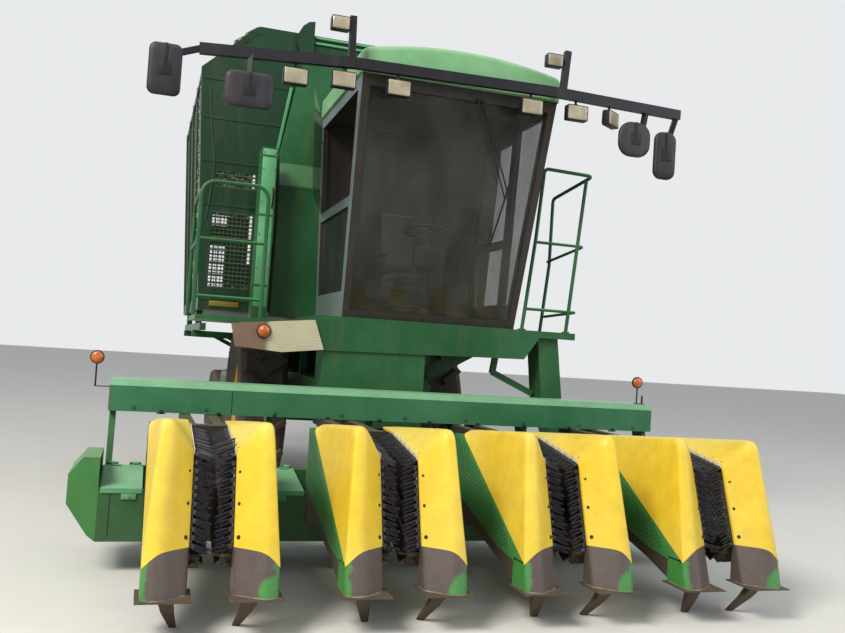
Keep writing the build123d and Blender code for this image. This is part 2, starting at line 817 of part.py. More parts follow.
LIFT_SPOTS = [((side * LIFT_X, FOOT_Y, FOOT_Z), (side * LIFT_X, EYE_Y, EYE_Z)) for side in SIDES]
X_AXIS = (1, 0, 0)
with BuildPart() as lift_barrels:
    for foot, eye in LIFT_SPOTS:
        barrel(foot, eye, X_AXIS, BARREL_LENGTH, BARREL_R, ROD_R, EYE_R, EYE_PIN_R, EYE_WIDTH)
write(lift_barrels, "lift_barrels")
with BuildPart() as lift_rods:
    for foot, eye in LIFT_SPOTS:
        ram(foot, eye, X_AXIS, 300, ROD_R, EYE_R, EYE_PIN_R, EYE_WIDTH)
write(lift_rods, "lift_rods")

# Tip cylinders
TIP_FOOT_X = 620
TIP_FOOT_Z = 700
TIP_EYE_X = 1000
TIP_EYE_Z = 1705
TIP_YS = (FRONT + 5369, FRONT + 5950)
Y_AXIS = (0, 1, 0)
TIP_SPOTS = [((TIP_FOOT_X, y, TIP_FOOT_Z), (TIP_EYE_X, y, TIP_EYE_Z)) for y in TIP_YS]
with BuildPart() as basket_barrels:
    for foot, eye in TIP_SPOTS:
        barrel(foot, eye, Y_AXIS, 640, BARREL_R, ROD_R, EYE_R, EYE_PIN_R, EYE_WIDTH)
write(basket_barrels, "basket_barrels")
with BuildPart() as basket_rods:
    for foot, eye in TIP_SPOTS:
        ram(foot, eye, Y_AXIS, 120, ROD_R, EYE_R, EYE_PIN_R, EYE_WIDTH)
write(basket_rods, "basket_rods")

# Chassis
POST = 80
OUTRIGGER_YS = (FRONT + 5420, FRONT + 7330)
OUTRIGGER_LOW = 1490
SILL_X = 1400
SILL_LOW = 1560
SILL_HIGH = 1630
SILL_FRONT = BASKET_FRONT + 20
TIP_PIVOT_YS = (FRONT + 5100, FRONT + 7000)
with BuildPart() as chassis_frame:
    for side in SIDES:
        rail = sided((RAIL_X, RAIL_X + RAIL_WIDTH), side)
        block(rail, (RAIL_FRONT, RAIL_BACK), (RAIL_LOW, RAIL_HIGH))
        sill = sided((SILL_X - 30, SILL_X + 30), side)
        block(sill, (SILL_FRONT, BASKET_BACK - 20), (SILL_LOW, SILL_HIGH))
        for flank in SIDES:
            cheek = side * LIFT_X + flank * (EYE_WIDTH / 2 + EYE_SIDE)
            x = tuple(sorted((cheek, cheek + flank * EAR)))
            block(x, (FOOT_Y - 50, FOOT_Y + 50), (FOOT_Z - 50, CROSS_LOW))
        cheek = EYE_WIDTH / 2 + EYE_SIDE + EAR
        rod(
            (side * LIFT_X - cheek, FOOT_Y, FOOT_Z),
            (side * LIFT_X + cheek, FOOT_Y, FOOT_Z),
            EYE_PIN_R,
        )
    block((-45, 45), (RAIL_BACK - 300, HITCH_BACK), (HITCH_Z - 14, HITCH_Z + 14))
    block((-45, 45), (RAIL_BACK - 60, RAIL_BACK), (HITCH_Z, CROSS_LOW))
    rod((0, HITCH_BACK - 60, HITCH_Z - 20), (0, HITCH_BACK - 60, HITCH_Z + 20), HITCH_PIN_R, mode=Mode.SUBTRACT)
write(chassis_frame, "chassis_frame")

# Frame members, welded to the rails
with BuildPart() as frame_members:
    reach = ARM_X + ARM_WIDTH / 2 + 25
    rod((-reach, LIFT_Y, LIFT_Z), (reach, LIFT_Y, LIFT_Z), LIFT_PIN_R)
    for side in SIDES:
        ear = sided((RAIL_X + RAIL_WIDTH - 30, RAIL_X + RAIL_WIDTH), side)
        block(ear, (LIFT_Y - 60, LIFT_Y + 100), (LIFT_Z - 60, RAIL_LOW))
    for y in CROSS_YS:
        block((-RAIL_X, RAIL_X), (y, y + CROSS_DEPTH), (CROSS_LOW, RAIL_HIGH - 20))
    for y in TIP_YS:
        for flank in SIDES:
            cheek = y + flank * (EYE_WIDTH / 2 + EYE_SIDE)
            span = tuple(sorted((cheek, cheek + flank * EAR)))
            side_x = RAIL_X + RAIL_WIDTH
            front_prism(
                span,
                (
                    (side_x, RAIL_HIGH - 20),
                    (side_x, TIP_FOOT_Z + 60),
                    (TIP_FOOT_X - 40, TIP_FOOT_Z - 50),
                    (TIP_FOOT_X + 50, TIP_FOOT_Z - 50),
                    (TIP_FOOT_X + 50, TIP_FOOT_Z + 50),
                    (side_x + 60, RAIL_HIGH - 20),
                ),
            )
        cheek = EYE_WIDTH / 2 + EYE_SIDE + EAR
        rod((TIP_FOOT_X, y - cheek, TIP_FOOT_Z), (TIP_FOOT_X, y + cheek, TIP_FOOT_Z), EYE_PIN_R)
    for y in OUTRIGGER_YS:
        span = (y, y + POST)
        block((-SILL_X - 40, SILL_X + 40), span, (OUTRIGGER_LOW, SILL_LOW))
        for side in SIDES:
            stand = sided((RAIL_X + 10, RAIL_X + 10 + POST), side)
            block(stand, span, (RAIL_HIGH, OUTRIGGER_LOW + 1))
            low = (side * (RAIL_X + 60), y + POST / 2, RAIL_HIGH + 30)
            beam(low, (side * (SILL_X - 350), y + POST / 2, OUTRIGGER_LOW + 20), 50, 50)
    for y in TIP_PIVOT_YS:
        rod((TIP_PIVOT_X, y - 80, TIP_PIVOT_Z), (TIP_PIVOT_X, y + 80, TIP_PIVOT_Z), TIP_PIN_R)
        for end in SIDES:
            spot = y + end * 66
            block((TIP_PIVOT_X - 34, TIP_PIVOT_X + 34), (spot - 14, spot + 14), (SILL_HIGH, TIP_PIVOT_Z + 40))
write(frame_members, "frame_members")

# Axles
with BuildPart() as front_axle:
    half = AXLE_BOX / 2
    block((-AXLE_HALF, AXLE_HALF), (DRIVE_Y - half, DRIVE_Y + half), (DRIVE_R - half, DRIVE_R + half))
    for side in SIDES:
        pad = sided((RAIL_X, RAIL_X + RAIL_WIDTH), side)
        block(pad, (DRIVE_Y - half, DRIVE_Y + half), (DRIVE_R + half - 1, RAIL_LOW - FACE_GAP))
        rod((side * (AXLE_HALF - 1), DRIVE_Y, DRIVE_R), (side * (DRIVE_X - 20), DRIVE_Y, DRIVE_R), 60)
write(front_axle, "front_axle")

with BuildPart() as rear_axle:
    block((-STEER_BEAM_HALF, STEER_BEAM_HALF), (STEER_Y - 70, STEER_Y + 70), (STEER_R + 70, STEER_R + 190))
    block((-RAIL_X, RAIL_X), (STEER_Y - 90, STEER_Y + 90), (STEER_R + 189, RAIL_LOW - FACE_GAP))
    for side in SIDES:
        pad = sided((RAIL_X, RAIL_X + RAIL_WIDTH), side)
        block(pad, (STEER_Y - 90, STEER_Y + 90), (STEER_R + 189, RAIL_LOW - FACE_GAP))
        ends = sided((STEER_BEAM_HALF - 1, KINGPIN_X + 50), side)
        for z in ((STEER_R + 100, STEER_R + KINGPIN_HALF + 60), (STEER_R - KINGPIN_HALF - 60, STEER_R - 100)):
            block(ends, (STEER_Y - 60, STEER_Y + 60), z)
        web = sided((STEER_BEAM_HALF - 60, STEER_BEAM_HALF - 10), side)
        block(web, (STEER_Y - 60, STEER_Y + 60), (STEER_R - KINGPIN_HALF - 60, STEER_R + 80))
        block(
            sided((STEER_BEAM_HALF - 60, STEER_BEAM_HALF), side),
            (STEER_Y - 60, STEER_Y + 60),
            (STEER_R - KINGPIN_HALF - 60, STEER_R - 100),
        )
        rod(
            (side * KINGPIN_X, STEER_Y, STEER_R - KINGPIN_HALF - 60),
            (side * KINGPIN_X, STEER_Y, STEER_R + KINGPIN_HALF + 60),
            KINGPIN_R,
        )
write(rear_axle, "rear_axle")

for side, hand in ((-1, "right"), (1, "left")):
    with BuildPart() as knuckle:
        x = side * KINGPIN_X
        rod((x, STEER_Y, STEER_R - 98), (x, STEER_Y, STEER_R + 98), KINGPIN_R + 22)
        rod((x, STEER_Y, STEER_R), (side * (STEER_X - 20), STEER_Y, STEER_R), 38)
        block(sided((KINGPIN_X - 20, KINGPIN_X + 20), side), (STEER_Y - 150, STEER_Y), (STEER_R - 20, STEER_R + 12))
        rod(
            (x, STEER_Y, STEER_R - 110),
            (x, STEER_Y, STEER_R + 110),
            KINGPIN_R + PIN_FIT,
            mode=Mode.SUBTRACT,
        )
    write(knuckle, f"knuckle_{hand}")


# Wheels
LUG_HEIGHT = 38
LUG_ROOT = 56
LUG_WIDTH = 46
LUG_ANGLE = 38


def tyre(x, y, radius, width, rim_radius, lugs):
    """A tyre with chevron lugs, its middle in the wheel's plane."""
    shoulder = width * 0.14
    tread = radius - (LUG_HEIGHT if lugs else 0)
    centre = (x, y, radius)
    with BuildSketch(Plane(origin=centre, x_dir=(1, 0, 0), z_dir=(0, -1, 0))) as section:
        Polygon(
            (-width / 2 + shoulder, rim_radius),
            (-width / 2, rim_radius + (tread - rim_radius) * 0.45),
            (-width / 2 + 14, tread - shoulder / 2),
            (-width / 2 + shoulder, tread),
            (width / 2 - shoulder, tread),
            (width / 2 - 14, tread - shoulder / 2),
            (width / 2, rim_radius + (tread - rim_radius) * 0.45),
            (width / 2 - shoulder, rim_radius),
            align=None,
        )
    revolve(section.sketch, axis=Axis(centre, (1, 0, 0)))
    for index in range(lugs):
        for hand in SIDES:
            angle = math.radians(360 / lugs * (index + (0.5 if hand > 0 else 0)))
            outward = Vector(0, math.cos(angle), math.sin(angle))
            base = Vector(*centre) + outward * (radius - LUG_ROOT)
            with BuildSketch(Plane(origin=base, x_dir=(1, 0, 0), z_dir=outward)) as lug:
                with Locations(Location((hand * width * 0.235, 0, 0), (0, 0, hand * LUG_ANGLE))):
                    Rectangle(width * 0.5, LUG_WIDTH)
            extrude(lug.sketch, amount=LUG_ROOT)
    with Locations(Location(centre, (0, 90, 0))):
        Cylinder(radius, width, mode=Mode.INTERSECT)


def rim(x, y, radius, rim_radius, hub_radius, bore, side, width):
    """A dished steel wheel in its tyre, bored for its axle."""
    dish = side * width * 0.05
    axis_at = lambda offset: (x + offset, y, radius)
    rod(axis_at(-width * 0.34), axis_at(width * 0.34), rim_radius - FACE_GAP)
    rod(axis_at(-width), axis_at(dish - 12), rim_radius - 16, mode=Mode.SUBTRACT)
    rod(axis_at(dish + 12), axis_at(width), rim_radius - 16, mode=Mode.SUBTRACT)
    rod(axis_at(-width * 0.30), axis_at(width * 0.30), hub_radius)
    rod(axis_at(-width), axis_at(width), bore + PIN_FIT, mode=Mode.SUBTRACT)
    with Locations(Location((x + dish, y, radius), (0, 90, 0))):
        with PolarLocations((rim_radius + hub_radius) / 2, 8):
            Cylinder((rim_radius - hub_radius) * 0.2, 40, mode=Mode.SUBTRACT)


WHEELS = (
    # name, x, y, radius, width, rim radius, hub radius, bore, lugs
    ("drive", DRIVE_X, DRIVE_Y, DRIVE_R, DRIVE_WIDTH, DRIVE_RIM_R, DRIVE_HUB_R, 60, 18),
    ("steer", STEER_X, STEER_Y, STEER_R, STEER_WIDTH, STEER_RIM_R, STEER_HUB_R, 38, 0),
)
for kind, x, y, radius, width, rim_radius, hub_radius, bore, lugs in WHEELS:
    for side, hand in ((-1, "right"), (1, "left")):
        with BuildPart() as wheel_tyre:
            tyre(side * x, y, radius, width, rim_radius, lugs)
        write(wheel_tyre, f"{kind}_tyre_{hand}")
        with BuildPart() as wheel_rim:
            rim(side * x, y, radius, rim_radius, hub_radius, bore, side, width)
        write(wheel_rim, f"{kind}_rim_{hand}")

# Engine
ENGINE_X = (-380, 380)
ENGINE_Y = (FRONT + 5560, FRONT + 6190)
with BuildPart() as engine_block:
    block((-360, 360), ENGINE_Y, (RAIL_HIGH + FACE_GAP, RAIL_HIGH + 420))
    block((-240, 240), (ENGINE_Y[0] + 60, ENGINE_Y[1] - 60), (RAIL_LOW - 150, RAIL_HIGH + 1))
    for side in SIDES:
        for y in (ENGINE_Y[0] + 40, ENGINE_Y[1] - 140):
            foot = sided((359, RAIL_X + 50), side)
            block(foot, (y, y + 100), (RAIL_HIGH + FACE_GAP, RAIL_HIGH + 40))
write(engine_block, "engine_block")

with BuildPart() as engine_covers:
    for side in SIDES:
        x = sided((560, 600), side)
        block(x, (FRONT + 5540, FRONT + 6460), (RAIL_HIGH + 20, RAIL_HIGH + 440))
        for step in range(9):
            y = FRONT + 5600 + step * 90
            block(sided((550, 610), side), (y, y + 50), (RAIL_HIGH + 80, RAIL_HIGH + 380), mode=Mode.SUBTRACT)
        for y in (FRONT + 5550, FRONT + 6400):
            block(sided((RAIL_X + RAIL_WIDTH - 20, 561), side), (y, y + 40), (RAIL_HIGH + 20, RAIL_HIGH + 60))
            block(sided((RAIL_X + 40, RAIL_X + RAIL_WIDTH - 19), side), (y, y + 40), (RAIL_HIGH + FACE_GAP, RAIL_HIGH + 60))
write(engine_covers, "engine_covers")

with BuildPart() as fuel_tank:
    block((-1050, -560), (FRONT + 5350, FRONT + 6080), (760, 1140))
    fillet(fuel_tank.edges().filter_by(Axis.Y), 70)
    block((-565, -RAIL_X - RAIL_WIDTH - FACE_GAP), (FRONT + 5450, FRONT + 5520), (1030, 1100))
    block((-565, -RAIL_X - RAIL_WIDTH - FACE_GAP), (FRONT + 5900, FRONT + 5970), (1030, 1100))
write(fuel_tank, "fuel_tank")

# Deck
BAND_OUTLINE = (
    # x, z of the green band across the front
    (-560, DECK_LOW),
    (1225, DECK_LOW + 30),
    (1360, DECK_TOP - 60),
    (DECK_LEFT, DECK_TOP - 60),
    (DECK_LEFT, DECK_TOP),
    (-620, DECK_TOP - 30),
)
with BuildPart() as cab_platform:
    front_prism((DECK_FRONT, DECK_FRONT + DECK_WALL), BAND_OUTLINE)
    block((-560, DECK_LEFT), (DECK_FRONT + DECK_WALL - 1, DECK_BACK), (DECK_TOP - 40, DECK_TOP - FACE_GAP))
    block((WALK_RIGHT, -559), (WALK_FRONT, WALK_BACK), (WALK_TOP - 40, WALK_TOP))
    block((-580, -540), (DECK_FRONT + DECK_WALL - 1, WALK_BACK), (WALK_TOP - 40, DECK_TOP - FACE_GAP))
    for x in (-480, 430):
        for y in (RAIL_FRONT + 40, DECK_BACK - 120):
            block((x, x + 60), (y, y + 60), (RAIL_HIGH + FACE_GAP, DECK_TOP - 39))
    beam((1060, DECK_FRONT + 160, DECK_TOP - 60), (RAIL_X + 60, RAIL_FRONT + 60, RAIL_HIGH + 85), 70, 110)
    beam((1010, DECK_FRONT + 190, 1350), (1400, DECK_FRONT + 190, 1180), 40, 50)
    beam((1060, DECK_FRONT + 190, DECK_TOP - 30), (1010, DECK_FRONT + 190, 1340), 40, 50)
    front_prism(
        (DECK_FRONT + 60, DECK_FRONT + 300),
        (
            (1370, DECK_TOP - 39),
            (1560, DECK_TOP - 39),
            (1640, 1100),
            (1760, 520),
            (1680, 520),
            (1440, 1100),
        ),
    )
write(cab_platform, "cab_platform")

# Deck shields
with BuildPart() as deck_shields:
    front_prism(
        (DECK_FRONT - 30, DECK_FRONT - 24),
        ((-1290, 1620), (-630, 1690), (-545, 1455), (-880, 1415), (-1250, 1440)),
    )
    for x in (-1200, -700):
        block((x, x + 40), (DECK_FRONT - 24, WALK_FRONT + 60), (1600, WALK_TOP - 40 - FACE_GAP))
write(deck_shields, "deck_shields")


# Cab
def cab_point(u, v, w):
    """A point in the cab's leaning box: u to the left, v to the rear, w up."""
    low = Vector(
        CAB_LOW_X[0] + u * (CAB_LOW_X[1] - CAB_LOW_X[0]),
        CAB_LOW_Y[0] + v * (CAB_LOW_Y[1] - CAB_LOW_Y[0]),
        CAB_LOW,
    )
    high = Vector(
        CAB_TOP_X[0] + u * (CAB_TOP_X[1] - CAB_TOP_X[0]),
        CAB_TOP_Y[0] + v * (CAB_TOP_Y[1] - CAB_TOP_Y[0]),
        CAB_TOP,
    )
    return low + (high - low) * w


# Windscreen, as an (x, z) outline
WINDSCREEN = (
    (CAB_LOW_X[0] + 60, CAB_LOW + 70),
    (CAB_LOW_X[1] - 60, CAB_LOW + 70),
    (CAB_TOP_X[1] - 66, CAB_TOP - 90),
    (CAB_TOP_X[0] + 66, CAB_TOP - 90),
)

# Side windows, as (y, z) outlines
LOWER_PANE = (
    (FRONT + 2770, 1950),
    (FRONT + 3800, 1950),
    (FRONT + 3800, 2640),
    (FRONT + 2610, 2640),
)
UPPER_PANE = (
    (FRONT + 2580, 2720),
    (FRONT + 3800, 2720),
    (FRONT + 3800, 3540),
    (FRONT + 2390, 3540),
)
QUARTER_PANE = (
    (FRONT + 2790, 1950),
    (FRONT + 2930, 1950),
    (FRONT + 2930, 3540),
    (FRONT + 2400, 3540),
)


def set_in(limits, wall):
    """A pair of limits drawn in by a wall."""
    return (limits[0] + wall, limits[1] - wall)


LEFT_LEAN = (CAB_TOP_X[0] - CAB_LOW_X[0]) / (CAB_TOP - CAB_LOW)
RIGHT_LEAN = (CAB_TOP_X[1] - CAB_LOW_X[1]) / (CAB_TOP - CAB_LOW)
DOOR_WALL = 30
DOOR_HINGE_OUT = 14
DOOR_HINGE_ZS = (2020, 2520, 3300)
DOOR_HINGE_R = 8
DOOR_KNUCKLE = 27


def door_x(z):
    """The x of the cab's outer face on the door's side."""
    return CAB_LOW_X[1] + (z - CAB_LOW) * RIGHT_LEAN


def hinge_spot(z):
    """A point on the door's leaning hinge line."""
    return Vector(door_x(z) + DOOR_HINGE_OUT, DOOR_BACK - 3, z)


with BuildPart() as cab_body:
    tower(((CAB_LOW, CAB_LOW_X, CAB_LOW_Y), (CAB_TOP, CAB_TOP_X, CAB_TOP_Y)))
    lean_x = [(top - low) / (CAB_TOP - CAB_LOW) for low, top in zip(CAB_LOW_X, CAB_TOP_X)]
    lean_y = [(top - low) / (CAB_TOP - CAB_LOW) for low, top in zip(CAB_LOW_Y, CAB_TOP_Y)]
    rooms = []
    for z in (CAB_LOW - 1, CAB_TOP + 1):
        x = [low + (z - CAB_LOW) * lean for low, lean in zip(CAB_LOW_X, lean_x)]
        y = [low + (z - CAB_LOW) * lean for low, lean in zip(CAB_LOW_Y, lean_y)]
        rooms.append((z, set_in(x, CAB_WALL), set_in(y, CAB_WALL)))
    tower(rooms, mode=Mode.SUBTRACT)
    front_prism((CAB_TOP_Y[0] - 20, CAB_LOW_Y[0] + CAB_WALL + 20), WINDSCREEN, mode=Mode.SUBTRACT)
    front_prism(
        (CAB_LOW_Y[1] - CAB_WALL - 30, CAB_LOW_Y[1] + 30),
        ((0, 2750), (760, 2750), (760, 3350), (0, 3350)),
        mode=Mode.SUBTRACT,
    )
    for outline in (LOWER_PANE, UPPER_PANE):
        side_prism((CAB_TOP_X[0] - 20, CAB_LOW_X[0] + CAB_WALL + 10), outline, mode=Mode.SUBTRACT)
    side_prism(
        (CAB_LOW_X[1] - CAB_WALL - 10, CAB_TOP_X[1] + 20),
        (
            (DOOR_FRONT, DOOR_LOW),
            (DOOR_BACK, DOOR_LOW),
            (DOOR_BACK, DOOR_HIGH),
            (DOOR_FRONT, DOOR_HIGH),
        ),
        mode=Mode.SUBTRACT,
    )
    side_prism((CAB_LOW_X[1] - CAB_WALL - 10, CAB_TOP_X[1] + 20), QUARTER_PANE, mode=Mode.SUBTRACT)
    for z in DOOR_HINGE_ZS:
        pin = hinge_spot(z)
        for end in SIDES:
            ear = z + end * (DOOR_KNUCKLE + 7)
            x = door_x(ear)
            block((x + 1, pin.X + 14), (DOOR_BACK + 1, DOOR_BACK + 40), (ear - 6, ear + 6))
            block((x + 6, pin.X + 14), (DOOR_BACK - 12, DOOR_BACK + 2), (ear - 6, ear + 6))
            block((x - 5, x + 2), (DOOR_BACK + 1, DOOR_BACK + 40), (ear - 6, ear + 6))
        rod(hinge_spot(z - DOOR_KNUCKLE - 13), hinge_spot(z + DOOR_KNUCKLE + 13), DOOR_HINGE_R)
write(cab_body, "cab_body")

with BuildPart() as cab_roof:
    low = CAB_TOP + FACE_GAP
    left, right = CAB_TOP_X[0] - 20, CAB_TOP_X[1] + 20
    behind = CAB_TOP_Y[1] + 40
    with BuildSketch(Plane(origin=(0, behind, 0), x_dir=(1, 0, 0), z_dir=(0, -1, 0))) as crown:
        with BuildLine():
            Polyline((left, ROOF_SIDE), (left, low), (right, low), (right, ROOF_SIDE))
            ThreePointArc((left, ROOF_SIDE), ((left + right) / 2, ROOF_TOP), (right, ROOF_SIDE))
        make_face()
    extrude(crown.sketch, amount=behind - CAB_TOP_Y[0] + 60)
    fillet(cab_roof.edges().filter_by(Axis.Z), ROOF_CORNER)
    fillet(cab_roof.faces().sort_by(Axis.Z)[-1].edges(), ROOF_ROUND)
write(cab_roof, "cab_roof")

# Glass
def pane(x, lean, outline, hinge_y=0, swing=0):
    """A leaning pane of glass, swung out about an upright edge."""
    spread = math.sqrt(1 + lean * lean)
    turn = math.radians(swing)
    outward = Vector(1, 0, -lean).normalized()
    rearward = Vector(0, 1, 0)
    along_pane = rearward * math.cos(turn) + outward * math.sin(turn)
    facing = outward * math.cos(turn) - rearward * math.sin(turn)
    with BuildSketch(Plane(origin=(x, hinge_y, CAB_LOW), x_dir=along_pane, z_dir=facing)) as shape:
        Polygon(*((y - hinge_y, (z - CAB_LOW) * spread) for y, z in outline), align=None)
    extrude(shape.sketch, amount=GLASS)


PANE_DEPTH = 18
PANE_SWING = 14
with BuildPart() as cab_glass:
    front_low = CAB_LOW_Y[0] + 12
    front_top = CAB_TOP_Y[0] + 12
    lean = (front_top - front_low) / (CAB_TOP - CAB_LOW)
    low, high = CAB_LOW, CAB_TOP
    side_prism(
        (CAB_TOP_X[0], CAB_TOP_X[1]),
        (
            (front_low + (low - CAB_LOW) * lean, low),
            (front_low + (low - CAB_LOW) * lean + GLASS, low),
            (front_low + (high - CAB_LOW) * lean + GLASS, high),
            (front_low + (high - CAB_LOW) * lean, high),
        ),
    )
    front_prism((CAB_TOP_Y[0], CAB_LOW_Y[0] + CAB_WALL), inset(WINDSCREEN, FACE_GAP), mode=Mode.INTERSECT)
    block((0.3, 759.7), (CAB_LOW_Y[1] - 30, CAB_LOW_Y[1] - 30 + GLASS), (2750.3, 3349.7))
    pane(CAB_LOW_X[0] + PANE_DEPTH, LEFT_LEAN, inset(LOWER_PANE, FACE_GAP))
    pane(CAB_LOW_X[1] - PANE_DEPTH - GLASS, RIGHT_LEAN, inset(QUARTER_PANE, FACE_GAP))
    swung = inset(UPPER_PANE, 4)
    pane(CAB_LOW_X[0] - 6, LEFT_LEAN, swung, UPPER_PANE[1][0] - 4, PANE_SWING)
    for z in (2860, 3400):
        x = CAB_LOW_X[0] + (z - CAB_LOW) * LEFT_LEAN
        block((x - 14, x - 1), (UPPER_PANE[1][0] - 30, UPPER_PANE[1][0] + 24), (z - 16, z + 16))
write(cab_glass, "cab_glass")

# Door
with BuildPart() as cab_door:
    low, high = DOOR_LOW + DOOR_GAP, DOOR_HIGH - DOOR_GAP
    span = (DOOR_FRONT + DOOR_GAP, DOOR_BACK - DOOR_GAP)
    front_prism(
        span,
        (
            (door_x(low) - DOOR_WALL, low),
            (door_x(low), low),
            (door_x(high), high),
            (door_x(high) - DOOR_WALL, high),
        ),
    )
    for low, high in DOOR_PANES:
        x = (door_x(low) - 2 * DOOR_WALL, door_x(high) + DOOR_WALL)
        block(x, DOOR_PANE_YS, (low, high), mode=Mode.SUBTRACT)
    for z in DOOR_HINGE_ZS:
        x = door_x(z)
        leaf = DOOR_KNUCKLE - 4
        block((x - 5, x + 10), (DOOR_BACK - 60, DOOR_BACK - 14), (z - leaf, z + leaf))
        rod(hinge_spot(z - DOOR_KNUCKLE), hinge_spot(z + DOOR_KNUCKLE), DOOR_HINGE_R + 6)
        rod(hinge_spot(z - 60), hinge_spot(z + 60), DOOR_HINGE_R + PIN_FIT, mode=Mode.SUBTRACT)
write(cab_door, "cab_door")

with BuildPart() as door_glass:
    for low, high in DOOR_PANES:
        outline = (
            (DOOR_PANE_YS[0], low),
            (DOOR_PANE_YS[1], low),
            (DOOR_PANE_YS[1], high),
            (DOOR_PANE_YS[0], high),
        )
        pane(CAB_LOW_X[1] - PANE_DEPTH - GLASS, RIGHT_LEAN, inset(outline, FACE_GAP))
write(door_glass, "door_glass")

# Interior
SEAT_X = 378
SEAT_Y = FRONT + 3420
with BuildPart() as operator_seat:
    block((SEAT_X - 170, SEAT_X + 170), (SEAT_Y - 150, SEAT_Y + 200), (DECK_TOP + FACE_GAP, DECK_TOP + 330))
    block((SEAT_X - 250, SEAT_X + 250), (SEAT_Y - 260, SEAT_Y + 240), (DECK_TOP + 329, DECK_TOP + 450))
    side_prism(
        (SEAT_X - 235, SEAT_X + 235),
        (
            (SEAT_Y + 160, DECK_TOP + 440),
            (SEAT_Y + 290, DECK_TOP + 440),
            (SEAT_Y + 380, DECK_TOP + 1130),
            (SEAT_Y + 270, DECK_TOP + 1130),
        ),
    )

    WHEEL_Y = FRONT + 2960
    low = (SEAT_X, WHEEL_Y - 60, DECK_TOP + 7.1)
    rod(low, (SEAT_X, WHEEL_Y + 60, DECK_TOP + 800), 45)
    tilt = Vector(0, 120, 800).normalized()
    with Locations(Plane(origin=(SEAT_X, WHEEL_Y + 60, DECK_TOP + 820), x_dir=(1, 0, 0), z_dir=tilt)):
        Torus(190, 16)
        Cylinder(50, 40)
        with PolarLocations(105, 3):
            Box(190, 26, 12)
write(operator_seat, "operator_seat")

# Light bar
def bar_spot(x):
    """The middle of the light bar at a place across the machine."""
    for (x0, y0, z0), (x1, y1, z1) in zip(BAR_POINTS, BAR_POINTS[1:]):
        if x <= x1 or (x1, y1, z1) == BAR_POINTS[-1]:
            share = (x - x0) / (x1 - x0)
            return Vector(x, y0 + (y1 - y0) * share, z0 + (z1 - z0) * share)


MIRROR_BACK = FRONT + 2060 + FACE_GAP
MIRROR_ARMS = (
    # x on the bar, the arm's end
    (-1690, (-1960, FRONT + 2120, 3480)),
    (-1330, (-1335, FRONT + 2100, 3380)),
    (1960, (1950, FRONT + 2112, 3450)),
    (2262, (2180, FRONT + 2105, 3330)),
)
with BuildPart() as light_bar:
    for start, end in zip(BAR_POINTS, BAR_POINTS[1:]):
        beam(start, end, BAR_DEPTH, BAR_HEIGHT)
    for x in (-380, 1130):
        spot = bar_spot(x)
        y_roof = CAB_TOP_Y[0] - 60 - FACE_GAP
        block((x - 25, x + 25), (spot.Y - 5, y_roof), (spot.Z + 2, spot.Z + 36))
    for x, top, lean_x in ((-590, 3985, -10), (1170, 4010, 25)):
        spot = bar_spot(x)
        beam((x, spot.Y, spot.Z), (x + lean_x, spot.Y, top), 50, 50)
    for x, end in MIRROR_ARMS:
        beam(bar_spot(x), end, 34, 44)
        rod(end, (end[0], MIRROR_BACK, end[2]), 12)
    spot = bar_spot(1180)
    beam((1180, spot.Y, 3910), (1145 + FACE_GAP, spot.Y, 3910), 30, 30)
    spot = bar_spot(-600)
    beam((-600, spot.Y, 3910), (-625 + FACE_GAP, spot.Y, 3910), 30, 30)
write(light_bar, "light_bar")

WORK_LAMPS = (
    # x, drop below the bar's middle, swing about the upright
    (-1000, 150, 0),
    (-645, 140, 0),
    (-215, 150, 0),
    (895, 150, 0),
    (1300, 140, 0),
    (1618, 140, 35),
)
LAMP_BOX = (190, 90, 130)
with BuildPart() as work_lamps:
    for x, drop, swing in WORK_LAMPS:
        spot = bar_spot(x)
        with Locations(Location((x, spot.Y, spot.Z - drop), (0, 0, swing))):
            Box(*LAMP_BOX)
        rod((x, spot.Y, spot.Z - drop + 60), (x, spot.Y, spot.Z - BAR_HEIGHT / 2 - 2 * FACE_GAP), 10)
    for x, z in ((-680, 3910), (1090, 3910)):
        spot = bar_spot(x)
        block((x - 90, x + 55), (spot.Y - 45, spot.Y + 45), (z - 55, z + 55))
write(work_lamps, "work_lamps")

MIRROR_Y = FRONT + 2035
MIRRORS = (
    # x, y, z, width, height, swing
    (-1930, MIRROR_Y, 3370, 230, 370, 0),
    (-1335, MIRROR_Y, 3310, 350, 260, 0),
    (1845, MIRROR_Y, 3370, 290, 290, 0),
    (2140, MIRROR_Y, 3270, 200, 400, 0),
)
with BuildPart() as mirrors:
    for x, y, z, width, height, swing in MIRRORS:
        with Locations(Location((x, y, z), (0, 0, swing))):
            Box(width, 50, height)
        fillet(mirrors.edges().filter_by(Axis.Y).filter_by_position(Axis.X, x - width, x + width), 40)
write(mirrors, "mirrors")

